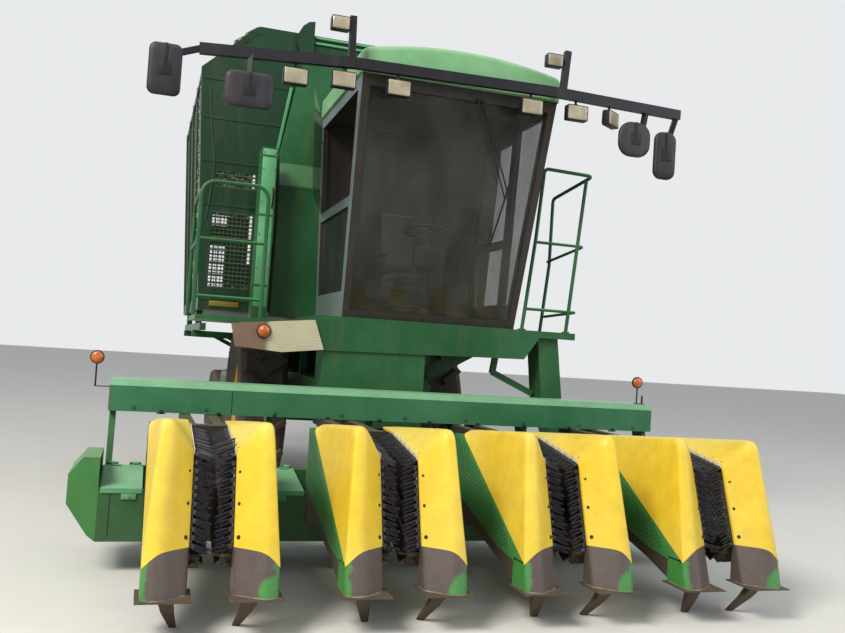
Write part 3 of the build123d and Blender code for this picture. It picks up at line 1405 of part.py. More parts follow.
# Handrails
RAIL_R = 16
FOOT_LIFT = 4
FOOT_HIGH = 12
FOOT_R = 36
GATE_Y = WALK_FRONT + 30
GATE_X = (-1575, -1045)
GATE_TOP = 2745
GATE_BARS = (1822, 2280)
RAIL_CORNER = (1820, FRONT + 2690, 3165)
RAIL_POST = (1740, FRONT + 3320)
with BuildPart() as handrails:
    low = WALK_TOP + FACE_GAP
    pipe(
        (
            (GATE_X[0], GATE_Y, low),
            (GATE_X[0], GATE_Y, GATE_TOP),
            (GATE_X[1], GATE_Y, GATE_TOP),
            (GATE_X[1], GATE_Y, low),
        ),
        RAIL_R,
        110,
    )
    for z in GATE_BARS:
        rod((GATE_X[0], GATE_Y, z), (GATE_X[1], GATE_Y, z), RAIL_R - 3)
    pipe(
        (
            (GATE_X[0], GATE_Y + 60, low),
            (GATE_X[0], GATE_Y + 60, GATE_TOP - 60),
            (GATE_X[0], WALK_BACK - 40, GATE_TOP - 60),
            (GATE_X[0], WALK_BACK - 40, low),
        ),
        RAIL_R,
        110,
    )
    rod((GATE_X[0], GATE_Y, GATE_BARS[1]), (GATE_X[0], WALK_BACK - 40, GATE_BARS[1]), RAIL_R - 3)
    low = DECK_TOP + FACE_GAP
    front_y = RAIL_CORNER[1]
    pipe(
        (
            (1215, front_y, low + FOOT_LIFT),
            (1300, front_y, 2560),
            (1345, front_y, 3180),
            RAIL_CORNER,
            (RAIL_POST[0], RAIL_POST[1], 3040),
            (RAIL_POST[0], RAIL_POST[1], 2400),
            (RAIL_POST[0] - 60, RAIL_POST[1], low + FOOT_LIFT),
        ),
        RAIL_R,
        45,
    )
    rod((1640, front_y, low + FOOT_LIFT), (1760, front_y, 3120), RAIL_R)
    for x, y in ((1215, front_y), (1640, front_y), (RAIL_POST[0] - 60, RAIL_POST[1])):
        rod((x, y, low), (x, y, low + FOOT_HIGH), FOOT_R)
    for x, corner_x, z, back_z in ((1240, 1725, 1925, 1900), (1296, 1765, 2520, 2430)):
        pipe(
            ((x, front_y, z), (corner_x, front_y, z), (RAIL_POST[0] - 20, RAIL_POST[1], back_z)),
            RAIL_R - 3,
            30,
        )
write(handrails, "handrails")

# Ducts
DUCT_FRONT = FRONT + 3935
DUCT_BACK = FRONT + 4235
with BuildPart() as air_ducts:
    block((-1030, -890), (FRONT + 3600, WALK_BACK - 4), (WALK_TOP + FACE_GAP, 3250))
    side_prism(
        (-830, -300),
        (
            (DUCT_FRONT, DECK_TOP + FACE_GAP),
            (DUCT_BACK, DECK_TOP + FACE_GAP),
            (DUCT_BACK, 3220),
            (DUCT_FRONT + 150, 3220),
            (DUCT_FRONT, 2980),
        ),
    )
    front_prism(
        (DUCT_FRONT + 150, DUCT_BACK),
        ((-820, 3219), (-400, 3219), (-250, 4250), (-640, 4250)),
    )
    block((-640, -250), (DUCT_FRONT + 150, BASKET_FRONT - FACE_GAP), (4050, 4250))
    block((-890, -829), (DUCT_FRONT - 90, DUCT_FRONT + 60), (2300, 2380))
    block((-890, -840), (FRONT + 3800, DUCT_FRONT - 89), (2300, 2380))

    INTAKE_X = (-540, 330)
    side_prism(
        INTAKE_X,
        (
            (DECK_FRONT + 20, DECK_TOP - 40 - FACE_GAP),
            (DECK_FRONT + 305, DECK_TOP - 40 - FACE_GAP),
            (DECK_FRONT + 305, 1010),
            (DECK_FRONT + 260, 840),
            (DECK_FRONT + 20, 840),
        ),
    )
write(air_ducts, "air_ducts")

# Exhaust
EXHAUST_Z = RAIL_HIGH + 145
SADDLE_YS = (FRONT + 5760, FRONT + 6200)
with BuildPart() as exhaust_pipe:
    rod((-470, FRONT + 5700, EXHAUST_Z), (-470, FRONT + 6300, EXHAUST_Z), 85)
    pipe(
        (
            (-470, FRONT + 6299, EXHAUST_Z),
            (-470, FRONT + 6500, EXHAUST_Z),
            (-900, FRONT + 6560, EXHAUST_Z),
        ),
        30,
        90,
    )
    for y in SADDLE_YS:
        block((-500, -440), (y, y + 40), (RAIL_HIGH + FACE_GAP, EXHAUST_Z - 60))
write(exhaust_pipe, "exhaust_pipe")

# Basket
BASKET_RIGHT = (
    # x, z from the floor up
    (BASKET_FOOT, BASKET_LOW),
    (BASKET_HALF, BASKET_SHOULDER),
    (1290, 4380),
    (1130, 4540),
    (1060, BASKET_TOP),
)
BASKET_OUTLINE = BASKET_RIGHT + tuple((-x, z) for x, z in reversed(BASKET_RIGHT))
PORTAL_YS = [BASKET_FRONT + index * (BASKET_BACK - BASKET_FRONT - BASKET_POST) / 4 for index in range(5)]
BASKET_FLOOR = 40
FRONT_WINDOWS = (
    # x and z limits
    ((1000, 1385), (1990, 2700)),
    ((1000, 1385), (2970, 3110)),
)
MOUTH_FLAP_DEEP = 60
MOUTH_FLAP = (
    (-530, 4345),
    (-530, 4700),
    (-590, 4690),
    (-650, 4640),
    (-690, 4560),
    (-690, 4440),
    (-660, 4375),
    (-610, 4345),
)
GATE_LOW = 2620
GATE_HIGH = 4020
GATE_GAP = 8
GATE_SPAN = (BASKET_FRONT + BASKET_POST, BASKET_BACK - BASKET_POST)
HINGE_X = BASKET_HALF + 18
HINGE_Z = BASKET_SHOULDER - 30
HINGE_R = 10
HINGE_YS = (BASKET_FRONT + 420, BASKET_FRONT + 1600, BASKET_FRONT + 2780)
HINGE_EAR = 12
HINGE_ARM = 40


def ring(y, outer, inner, mode=Mode.ADD):
    """A hoop of the basket's outline between two depths from its outside."""
    low, high = sorted(y)
    upright = Plane(origin=(0, high, 0), x_dir=(1, 0, 0), z_dir=(0, -1, 0))
    with BuildSketch(upright) as section:
        Polygon(*inset(BASKET_OUTLINE, outer), align=None)
        Polygon(*inset(BASKET_OUTLINE, inner), align=None, mode=Mode.SUBTRACT)
    extrude(section.sketch, amount=high - low, mode=mode)


def gate_space(gap):
    """The opening of the dumping side, drawn in by a gap."""
    return (
        (BASKET_FOOT - 120, BASKET_HALF + 60),
        (GATE_SPAN[0] + gap, GATE_SPAN[1] - gap),
        (GATE_LOW + gap, GATE_HIGH - gap),
    )


with BuildPart() as basket_frame:
    for y in PORTAL_YS:
        ring((y, y + BASKET_POST), 0, BASKET_POST)
    block(*gate_space(0), mode=Mode.SUBTRACT)
    floor = (BASKET_FOOT - BASKET_POST - 2, BASKET_LOW + BASKET_FLOOR)
    block((-floor[0], floor[0]), (BASKET_FRONT, BASKET_BACK), (BASKET_LOW, floor[1]))
    for side in SIDES:
        for x, z, up in (
            (BASKET_HALF - 62, BASKET_SHOULDER - 75, 70),
            (1228, 4360, 50),
            (1010, BASKET_TOP - 60, 60),
        ):
            block(sided((x, x + 56), side), (BASKET_FRONT, BASKET_BACK), (z, z + up))
        rail_x = sided((BASKET_FOOT - 2, BASKET_FOOT - 58), side)
        block(rail_x, (BASKET_FRONT, BASKET_BACK), (BASKET_LOW, BASKET_LOW + 120))
    for y in ((BASKET_FRONT, BASKET_FRONT + BASKET_SHEET), (BASKET_BACK - BASKET_SHEET, BASKET_BACK)):
        low, high = y
        upright = Plane(origin=(0, high, 0), x_dir=(1, 0, 0), z_dir=(0, -1, 0))
        with BuildSketch(upright) as wall:
            Polygon(*inset(BASKET_OUTLINE, 2), align=None)
        extrude(wall.sketch, amount=high - low)
    for side in SIDES:
        for x, z in FRONT_WINDOWS:
            for y in (BASKET_FRONT, BASKET_BACK):
                block(sided(x, side), (y - 20, y + 20), z, mode=Mode.SUBTRACT)
    block((-700, 700), (BASKET_BACK - 20, BASKET_BACK + 20), (2500, 3900), mode=Mode.SUBTRACT)
    front_prism((BASKET_FRONT - MOUTH_FLAP_DEEP, BASKET_FRONT + 1), MOUTH_FLAP)
    for y in TIP_PIVOT_YS:
        front_prism(
            (y - 46, y + 46),
            (
                (TIP_PIVOT_X - 110, BASKET_LOW + 1),
                (TIP_PIVOT_X - 52, TIP_PIVOT_Z),
                (TIP_PIVOT_X - 30, TIP_PIVOT_Z - 45),
                (TIP_PIVOT_X + 30, TIP_PIVOT_Z - 45),
                (TIP_PIVOT_X + 52, TIP_PIVOT_Z),
                (TIP_PIVOT_X + 60, BASKET_LOW + 1),
            ),
        )
        rod((TIP_PIVOT_X, y - 60, TIP_PIVOT_Z), (TIP_PIVOT_X, y + 60, TIP_PIVOT_Z), TIP_PIN_R + PIN_FIT, mode=Mode.SUBTRACT)
        block((-SILL_X - 30, -SILL_X + 30), (y - 80, y + 80), (SILL_HIGH + FACE_GAP, BASKET_LOW + 1))
    for y in TIP_YS:
        for flank in SIDES:
            cheek = y + flank * (EYE_WIDTH / 2 + EYE_SIDE)
            span = tuple(sorted((cheek, cheek + flank * EAR)))
            front_prism(
                span,
                (
                    (TIP_EYE_X - 90, BASKET_LOW + 1),
                    (TIP_EYE_X - 40, TIP_EYE_Z - 45),
                    (TIP_EYE_X + 40, TIP_EYE_Z - 45),
                    (TIP_EYE_X + 90, BASKET_LOW + 1),
                ),
            )
    for y in HINGE_YS:
        for flank in SIDES:
            near = y + flank * (HINGE_ARM / 2 + 1)
            span = tuple(sorted((near, near + flank * HINGE_EAR)))
            front_prism(
                span,
                (
                    (BASKET_HALF - 40, HINGE_Z - 14),
                    (HINGE_X + 18, HINGE_Z - 14),
                    (HINGE_X + 18, HINGE_Z + 14),
                    (BASKET_HALF - 40, HINGE_Z + 24),
                ),
            )
        half = HINGE_ARM / 2 + 1 + HINGE_EAR
        rod((HINGE_X, y - half, HINGE_Z), (HINGE_X, y + half, HINGE_Z), HINGE_R)
write(basket_frame, "basket_frame")

MESH = 4
WINDOW_LAP = 12
with BuildPart() as basket_mesh:
    for low, high in zip(PORTAL_YS, PORTAL_YS[1:]):
        y = (low + BASKET_POST + FACE_GAP, high - FACE_GAP)
        ring(y, 20, 20 + MESH)
    block((-2000, 2000), (BASKET_FRONT, BASKET_BACK), (0, BASKET_LOW + 120 + FACE_GAP), mode=Mode.SUBTRACT)
    block(*gate_space(-60), mode=Mode.SUBTRACT)
    for side in SIDES:
        for x, z, up in (
            (BASKET_HALF - 62, BASKET_SHOULDER - 75, 70),
            (1228, 4360, 50),
            (1010, BASKET_TOP - 60, 60),
        ):
            gap = FACE_GAP
            block(
                sided((x - gap, x + 56 + gap), side),
                (BASKET_FRONT, BASKET_BACK),
                (z - gap, z + up + gap),
                mode=Mode.SUBTRACT,
            )

    for side in SIDES:
        for x, z in FRONT_WINDOWS:
            wide = (x[0] - WINDOW_LAP, x[1] + WINDOW_LAP)
            tall = (z[0] - WINDOW_LAP, z[1] + WINDOW_LAP)
            y = BASKET_FRONT + BASKET_SHEET + FACE_GAP
            block(sided(wide, side), (y, y + MESH), tall)
            y = BASKET_BACK - BASKET_SHEET - FACE_GAP - MESH
            block(sided(wide, side), (y, y + MESH), tall)
    block((-720, 720), (y, y + MESH), (2480, 3920))
write(basket_mesh, "basket_mesh")

with BuildPart() as basket_gate:
    ring((GATE_SPAN[0] + GATE_GAP, GATE_SPAN[1] - GATE_GAP), 0, 40)
    block(*gate_space(GATE_GAP), mode=Mode.INTERSECT)
    width = (GATE_SPAN[1] - GATE_SPAN[0] - 2 * GATE_GAP) / 3
    for bay in range(3):
        low = GATE_SPAN[0] + GATE_GAP + bay * width
        block(
            (BASKET_FOOT - 120, BASKET_HALF + 60),
            (low + 30, low + width - 30),
            (GATE_LOW + GATE_GAP + 40, GATE_HIGH - GATE_GAP - 40),
            mode=Mode.SUBTRACT,
        )
    for y in HINGE_YS:
        front_prism(
            (y - HINGE_ARM / 2, y + HINGE_ARM / 2),
            (
                (HINGE_X - 36, GATE_HIGH - GATE_GAP - 60),
                (HINGE_X + 4, GATE_HIGH - GATE_GAP - 60),
                (HINGE_X + 18, HINGE_Z - 10),
                (HINGE_X + 12, HINGE_Z + 14),
                (HINGE_X - 12, HINGE_Z + 14),
                (HINGE_X - 15, HINGE_Z - 14),
                (HINGE_X - 14, GATE_HIGH),
                (HINGE_X - 30, GATE_HIGH - GATE_GAP),
            ),
        )
        rod((HINGE_X, y - 40, HINGE_Z), (HINGE_X, y + 40, HINGE_Z), HINGE_R + PIN_FIT, mode=Mode.SUBTRACT)

    slope = (BASKET_HALF - BASKET_FOOT) / (BASKET_SHOULDER - BASKET_LOW)
    for bay in range(3):
        low = GATE_SPAN[0] + GATE_GAP + bay * width
        z = (GATE_LOW + GATE_GAP + 39, GATE_HIGH - GATE_GAP - 39)
        x = [BASKET_FOOT + (value - BASKET_LOW) * slope - 20 for value in z]
        front_prism(
            (low + 29, low + width - 29),
            ((x[0], z[0]), (x[0] + MESH, z[0]), (x[1] + MESH, z[1]), (x[1], z[1])),
        )
write(basket_gate, "basket_gate")
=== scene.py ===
import math
import random

import bpy
from mathutils import Matrix, Vector


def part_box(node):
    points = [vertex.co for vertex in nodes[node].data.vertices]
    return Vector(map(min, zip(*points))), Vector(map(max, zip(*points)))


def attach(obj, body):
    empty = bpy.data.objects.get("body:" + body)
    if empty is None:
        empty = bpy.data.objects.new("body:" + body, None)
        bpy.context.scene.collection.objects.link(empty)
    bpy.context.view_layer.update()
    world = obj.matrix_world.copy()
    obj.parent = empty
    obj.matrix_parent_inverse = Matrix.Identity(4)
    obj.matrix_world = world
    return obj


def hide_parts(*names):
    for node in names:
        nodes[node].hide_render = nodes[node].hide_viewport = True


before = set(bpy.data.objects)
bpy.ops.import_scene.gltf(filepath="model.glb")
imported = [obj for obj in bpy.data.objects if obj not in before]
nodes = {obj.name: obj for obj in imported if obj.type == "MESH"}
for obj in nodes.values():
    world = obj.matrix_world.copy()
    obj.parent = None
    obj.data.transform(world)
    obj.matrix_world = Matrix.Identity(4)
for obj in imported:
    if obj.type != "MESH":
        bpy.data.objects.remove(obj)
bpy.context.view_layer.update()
random.seed(7)

# Places on the machine, in metres
FRONT = -3.9
ROW_PITCH = 1.016
ROWS = (-1.524, -0.508, 0.508, 1.524)
SIDES = (1, -1)
ROW_SIDES = [(row, side) for row in ROWS for side in SIDES]
BASKET_FRONT = FRONT + 4.3
BASKET_BACK = FRONT + 7.5

# Camera
PHOTO_WIDTH = 845
FOCAL_PIXELS = 885.9
CAMERA_SPOT = Vector((-1.933, -8.358, 1.5))
CAMERA_YAW = 0.3027
CAMERA_PITCH = 0.0383
CAMERA_ROLL = 0.0649


def place_camera():
    """The camera at the photograph's place, turned and rolled as it was."""
    level = Vector((math.cos(CAMERA_YAW), -math.sin(CAMERA_YAW), 0))
    ahead = Vector((math.sin(CAMERA_YAW), math.cos(CAMERA_YAW), 0))
    forward = ahead * math.cos(CAMERA_PITCH) + Vector((0, 0, math.sin(CAMERA_PITCH)))
    upward = level.cross(forward)
    right = math.cos(CAMERA_ROLL) * level + math.sin(CAMERA_ROLL) * upward
    above = math.cos(CAMERA_ROLL) * upward - math.sin(CAMERA_ROLL) * level
    data = bpy.data.cameras.new("view_camera")
    data.sensor_width = 36
    data.sensor_fit = "HORIZONTAL"
    data.lens = FOCAL_PIXELS / PHOTO_WIDTH * data.sensor_width
    camera = bpy.data.objects.new("view_camera", data)
    bpy.context.scene.collection.objects.link(camera)
    turn = Matrix((right, above, -forward)).transposed().to_4x4()
    camera.matrix_world = Matrix.Translation(CAMERA_SPOT) @ turn
    bpy.context.scene.camera = camera


# Colours and node helpers
def colour(red, green, blue):
    """A screen colour, 0 to 255, as the linear colour that shaders use."""
    def linear(value):
        value /= 255
        return value / 12.92 if value < 0.04045 else ((value + 0.055) / 1.055) ** 2.4
    return (linear(red), linear(green), linear(blue), 1.0)


def add(tree, kind, **settings):
    """A new node with its settings."""
    node = tree.nodes.new(kind)
    for key, value in settings.items():
        setattr(node, key, value)
    return node


def join_up(tree, source, target):
    """Links an output, or sets a plain value, on a socket."""
    if isinstance(source, bpy.types.NodeSocket):
        tree.links.new(source, target)
    else:
        target.default_value = source


def wire(tree, node, **sources):
    """Links or values on a node's inputs, named with _ for a space."""
    for key, source in sources.items():
        join_up(tree, source, node.inputs[key.replace("_", " ")])
    return node


def calculate(tree, operation, first, second=0.0, third=0.0):
    """A maths node's result."""
    node = add(tree, "ShaderNodeMath", operation=operation)
    for source, target in zip((first, second, third), node.inputs):
        join_up(tree, source, target)
    return node.outputs[0]


def times(tree, first, second):
    return calculate(tree, "MULTIPLY", first, second)


def larger(tree, first, second):
    return calculate(tree, "MAXIMUM", first, second)


def between(tree, value, low, high, to_low=0.0, to_high=1.0):
    """A value mapped from one range to another, and clamped."""
    node = add(tree, "ShaderNodeMapRange")
    wire(tree, node, Value=value, From_Min=low, From_Max=high, To_Min=to_low, To_Max=to_high)
    return node.outputs["Result"]


def blend_colours(tree, share, first, second):
    """A mix of two colours."""
    node = add(tree, "ShaderNodeMix", data_type="RGBA")
    for index, source in ((0, share), (6, first), (7, second)):
        join_up(tree, source, node.inputs[index])
    return node.outputs[2]


def shade(tree, value, low, high, first, second):
    """Two screen colours, mixed as a value goes from low to high."""
    return blend_colours(tree, between(tree, value, low, high), colour(*first), colour(*second))


def place_pattern(tree, scale=(1, 1, 1)):
    """Object coordinates, stretched."""
    where = add(tree, "ShaderNodeTexCoord").outputs["Object"]
    return wire(tree, add(tree, "ShaderNodeMapping"), Vector=where, Scale=scale).outputs["Vector"]


def split(tree, vector):
    """The X, Y and Z of a vector."""
    return wire(tree, add(tree, "ShaderNodeSeparateXYZ"), Vector=vector).outputs


def noise(tree, vector, scale, detail=4.0, rough=0.55, twist=0.0):
    """A noise texture's value."""
    node = add(tree, "ShaderNodeTexNoise")
    wire(tree, node, Vector=vector, Scale=scale, Detail=detail, Roughness=rough, Distortion=twist)
    return node.outputs["Fac"]


def bands(tree, direction, scale, twist=0.0):
    """The value of even bands across a direction."""
    node = add(tree, "ShaderNodeTexWave", wave_type="BANDS", bands_direction=direction)
    return wire(tree, node, Vector=place_pattern(tree), Scale=scale, Distortion=twist).outputs["Fac"]


def start_group(name, inputs, outputs):
    """A shader node group with named sockets."""
    group = bpy.data.node_groups.new(name, "ShaderNodeTree")
    kinds = {"colour": "NodeSocketColor", "value": "NodeSocketFloat"}
    for label, kind, value in inputs:
        socket = group.interface.new_socket(label, in_out="INPUT", socket_type=kinds[kind])
        socket.default_value = value
    for label, kind in outputs:
        group.interface.new_socket(label, in_out="OUTPUT", socket_type=kinds[kind])
    return group, group.nodes.new("NodeGroupInput").outputs, group.nodes.new("NodeGroupOutput").inputs


def make_weathering():
    """Sun-faded paint with dust on top, streaks down the sides, chips and rubbed edges; upward faces are
    painted paler still, partly sun fade and partly a painted highlight.
    """
    grey = (0.5, 0.5, 0.5, 1)
    colours = [(label, "colour", grey) for label in ("Coat", "Faded", "Dust", "Bare")]
    shares = (("Fade", 0.5), ("Bleach", 0.5), ("Dust", 0.4), ("Wear", 0.2))
    amounts = [(label + " Amount", "value", value) for label, value in shares]
    tree, given, result = start_group(
        "weathering", (*colours, *amounts, ("Gloss", "value", 0.4)),
        (("Color", "colour"), ("Roughness", "value"), ("Height", "value")),
    )
    plain = place_pattern(tree)
    tall = place_pattern(tree, (1, 1, 0.12))
    normal = add(tree, "ShaderNodeNewGeometry").outputs["Normal"]
    upward = between(tree, split(tree, normal)["Z"], 0.15, 0.9)
    broad = noise(tree, plain, 1.3, 5.0)
    patchy = times(tree, between(tree, broad, 0.35, 0.68), given["Fade Amount"])
    # Upward faces painted paler: partly sun fade, partly a painted highlight standing in for light falling on
    # top faces.
    bleached = times(tree, upward, given["Bleach Amount"])
    fade = calculate(tree, "MINIMUM", calculate(tree, "ADD", patchy, bleached), 1.0)
    painted = blend_colours(tree, fade, given["Coat"], given["Faded"])
    mottled = between(tree, noise(tree, plain, 9.0, 6.0, 0.65), 0.3, 0.7)
    darker = wire(tree, add(tree, "ShaderNodeHueSaturation"), Color=painted, Value=0.82).outputs["Color"]
    painted = blend_colours(tree, mottled, darker, painted)
    streaks = between(tree, noise(tree, tall, 9.0, 5.0, 0.6), 0.5, 0.78)
    speckle = between(tree, noise(tree, plain, 60.0, 5.0, 0.7), 0.42, 0.72)
    lying = times(tree, upward, between(tree, speckle, 0.0, 1.0, 0.3, 0.85))
    hanging = times(tree, streaks, between(tree, speckle, 0.0, 1.0, 0.2, 0.6))
    low = between(tree, split(tree, plain)["Z"], 0.2, 1.3, 0.45, 0.0)
    splashed = times(tree, low, between(tree, speckle, 0.0, 1.0, 0.4, 1.0))
    dust = times(tree, larger(tree, larger(tree, lying, hanging), splashed), given["Dust Amount"])
    dusty = blend_colours(tree, dust, painted, given["Dust"])
    scratch = noise(tree, place_pattern(tree, (1, 1, 3)), 22.0, 8.0, 0.75, 1.2)
    chips = between(tree, scratch, 0.67, 0.7)
    edge = wire(tree, add(tree, "ShaderNodeBevel", samples=4), Radius=0.006)
    alike = add(tree, "ShaderNodeVectorMath", operation="DOT_PRODUCT")
    tree.links.new(edge.outputs["Normal"], alike.inputs[0])
    tree.links.new(normal, alike.inputs[1])
    rim = between(tree, alike.outputs["Value"], 0.97, 0.86)
    rubbed = times(tree, rim, between(tree, noise(tree, plain, 14.0, 6.0, 0.7), 0.45, 0.62))
    bare = times(tree, larger(tree, chips, rubbed), given["Wear Amount"])
    rough = calculate(tree, "MULTIPLY_ADD", dust, 0.45, given["Gloss"])
    height = calculate(tree, "MULTIPLY_ADD", speckle, 0.25, between(tree, broad, 0.0, 1.0, 0.0, 0.5))
    tree.links.new(blend_colours(tree, bare, dusty, given["Bare"]), result["Color"])
    tree.links.new(calculate(tree, "MULTIPLY_ADD", speckle, 0.08, rough), result["Roughness"])
    tree.links.new(calculate(tree, "SUBTRACT", height, bare), result["Height"])
    return tree


WEATHERING = make_weathering()
FIELD_DUST = colour(150, 126, 96)
PALE_DUST = colour(176, 160, 132)
BARE_METAL = colour(92, 84, 78)


def start_material(name):
    """A new material with its shader, ready to be wired."""
    material = bpy.data.materials.new(name)
    material.use_nodes = True
    tree = material.node_tree
    return material, tree, tree.nodes["Principled BSDF"]


def bump(tree, height, shader, strength, distance):
    """A bump from a height, into the shader's normal."""
    node = wire(tree, add(tree, "ShaderNodeBump"), Strength=strength, Distance=distance, Height=height)
    wire(tree, shader, Normal=node.outputs["Normal"])


# The upward-face share paints top faces paler: sun fade and a painted highlight together.
def weather(tree, shader, coat, faded, dust=FIELD_DUST, bare=BARE_METAL, fade=0.5, bleach=0.4,
            dusty=0.4, wear=0.3, gloss=0.38, depth=0.12):
    """The weathering on a shader, with its colour given back."""
    made = wire(
        tree, add(tree, "ShaderNodeGroup", node_tree=WEATHERING), Coat=coat, Faded=faded, Dust=dust,
        Bare=bare, Fade_Amount=fade, Bleach_Amount=bleach, Dust_Amount=dusty, Wear_Amount=wear, Gloss=gloss,
    ).outputs
    wire(tree, shader, Base_Color=made["Color"], Roughness=made["Roughness"])
    bump(tree, made["Height"], shader, depth, 0.002)
    return made["Color"]


def as_finish(dress, name=None):
    """A finish of a function that wires a shader, made when a piece first needs it."""
    def make():
        material, tree, shader = start_material(name or dress.__name__)
        dress(tree, shader)
        return material
    return make


def coated(name, coat, faded, shine=0.06, **values):
    """A finish of paint that has stood outside."""
    def dress(tree, shader):
        weather(tree, shader, colour(*coat), colour(*faded), **values)
        wire(tree, shader, Coat_Weight=shine, Coat_Roughness=0.25, Specular_IOR_Level=0.3)
    return as_finish(dress, name)


def plain_metal(name, coat, faded, bare, polish=0.75, **values):
    """A finish of metal without paint."""
    def dress(tree, shader):
        weather(tree, shader, colour(*coat), colour(*faded), bare=colour(*bare), **values)
        wire(tree, shader, Metallic=polish)
    return as_finish(dress, name)


# Painted finishes
# Each paint's upward-face share is painted top light as well as sun fade; the beam's is the largest.
machine_green = coated("machine_green", (22, 80, 40), (84, 150, 98), fade=0.2, bleach=0.65, dusty=0.3)
panel_green = coated("panel_green", (44, 124, 60), (96, 156, 96), fade=0.3, dusty=0.35)
basket_green = coated("basket_green", (12, 50, 28), (34, 84, 52), fade=0.3, bleach=0.6, dusty=0.25)
beam_green = coated("beam_green", (34, 104, 66), (128, 184, 142), fade=0.2, bleach=0.9, dusty=0.2)
mint_green = coated("mint_green", (66, 146, 94), (130, 194, 148), bleach=0.6, dusty=0.35)
roof_green = coated("roof_green", (120, 176, 124), (166, 208, 168), bleach=0.6, dusty=0.25, wear=0.1)
# Paler on upward faces, partly sun fade and partly painted top light, and dirty towards the ground
hood_yellow = coated(
    "hood_yellow", (240, 202, 44), (243, 222, 112), dust=colour(186, 158, 96), fade=0.35, bleach=0.5,
    dusty=0.22, wear=0.12, gloss=0.42, shine=0.12,
)
pale_edge = coated("pale_edge", (226, 218, 180), (240, 234, 206), dusty=0.3, gloss=0.5)
black_frame = coated("black_frame", (18, 18, 25), (40, 38, 46), dusty=0.14, fade=0.3, wear=0.15, gloss=0.42)
frame_grey = coated("frame_grey", (96, 104, 104), (140, 146, 144), dusty=0.3, wear=0.4, gloss=0.4)
wheel_yellow = coated("wheel_yellow", (206, 164, 40), (196, 168, 92), dusty=0.85, fade=0.6)
# Dark oily iron for the engine; on the row frames the same dark finish is painted shade for the dark under
# the hoods.
oily_iron_and_painted_shade = coated("oily_iron_and_painted_shade", (48, 50, 46), (36, 32, 28), dusty=0.6, fade=0.8, gloss=0.5, shine=0.1)
tyre_rubber = coated(
    "tyre_rubber", (38, 36, 36), (66, 60, 56), dust=PALE_DUST, bare=colour(96, 84, 70), fade=0.7,
    bleach=0.2, dusty=0.8, gloss=0.72, shine=0.0, depth=0.3,
)
black_rubber = coated(
    "black_rubber", (20, 20, 22), (44, 42, 42), bleach=0.2, dusty=0.25, wear=0.1, gloss=0.55, shine=0.0,
    depth=0.2,
)
mirror_shell = coated("mirror_shell", (32, 31, 37), (58, 56, 64), dusty=0.35, fade=0.6, wear=0.1, gloss=0.5)
cab_plastic = coated("cab_plastic", (52, 46, 38), (84, 76, 62), dusty=0.5, wear=0.1, gloss=0.6, shine=0.0)
olive_plate = coated("olive_plate", (124, 112, 34), (150, 138, 66), fade=0.6, dusty=0.3)

# Metal finishes
worn_steel = plain_metal(
    "worn_steel", (96, 88, 82), (70, 54, 44), (150, 146, 140), fade=0.8, wear=0.7, depth=0.25
)
rusty_steel = plain_metal(
    "rusty_steel", (74, 60, 50), (50, 40, 34), (120, 108, 96), polish=0.3, dust=colour(134, 116, 92),
    fade=0.9, wear=0.6, dusty=0.7, gloss=0.6, depth=0.35,
)
wire_steel = plain_metal(
    "wire_steel", (40, 78, 52), (92, 88, 78), (128, 112, 96), polish=0.3, fade=0.9, wear=0.6, gloss=0.5
)


# Other finishes
@as_finish
def nose_skin(tree, shader):
    """Green moulded noses, rubbed purple-brown where the crop slides over them."""
    place = split(tree, place_pattern(tree))
    ragged = noise(tree, place_pattern(tree), 16.0, 6.0, 0.7)
    wobble = between(tree, ragged, 0.25, 0.75, -0.022, 0.022)
    turned = calculate(tree, "MODULO", calculate(tree, "ADD", place["X"], 2 * ROW_PITCH), ROW_PITCH)
    signed = calculate(tree, "SUBTRACT", turned, ROW_PITCH / 2)
    across = calculate(tree, "ADD", calculate(tree, "ABSOLUTE", signed), wobble)
    outer = between(tree, across, 0.306, 0.322)
    reach = calculate(tree, "MULTIPLY", ragged, 0.9)
    for value, middle, half in ((across, 0.300, 0.075), (place["Z"], 0.215, 0.105)):
        off = calculate(tree, "DIVIDE", calculate(tree, "SUBTRACT", value, middle), half)
        reach = calculate(tree, "MULTIPLY_ADD", off, off, reach)
    patch = times(tree, between(tree, reach, 1.5, 1.15), between(tree, signed, -0.01, 0.01))
    rubbed = blend_colours(tree, ragged, colour(62, 52, 52), colour(92, 80, 78))
    moulded = blend_colours(tree, ragged, colour(28, 112, 40), colour(66, 156, 72))
    chipped = between(tree, calculate(tree, "MULTIPLY_ADD", ragged, 0.03, place["Z"]), 0.229, 0.225)
    coat = blend_colours(tree, larger(tree, outer, patch), rubbed, moulded)
    coat = blend_colours(tree, chipped, coat, colour(150, 142, 124))
    weather(tree, shader, coat, coat, fade=0.0, bleach=0.0, dusty=0.3, wear=0.2, gloss=0.46)
    wire(tree, shader, Coat_Weight=0.12)


@as_finish
def cab_paint(tree, shader):
    """Brown-black round the windscreen, chalky grey-green down the sides and dark inside."""
    normal = split(tree, add(tree, "ShaderNodeNewGeometry").outputs["Normal"])
    sideways = between(tree, calculate(tree, "ABSOLUTE", normal["X"]), 0.6, 0.8)
    place = split(tree, place_pattern(tree))
    middle = calculate(tree, "ABSOLUTE", calculate(tree, "SUBTRACT", place["X"], 0.38))
    lean = calculate(tree, "MULTIPLY_ADD", calculate(tree, "SUBTRACT", place["Z"], 1.735), 0.0355, 0.7575)
    outside = between(tree, calculate(tree, "SUBTRACT", middle, lean), -0.02, -0.008)
    flank = times(tree, sideways, outside)
    coat = blend_colours(tree, flank, colour(34, 28, 24), colour(104, 118, 118))
    faded = blend_colours(tree, flank, colour(56, 46, 42), colour(146, 156, 154))
    weather(tree, shader, coat, faded, bleach=0.2, dusty=0.3, wear=0.25, gloss=0.45)


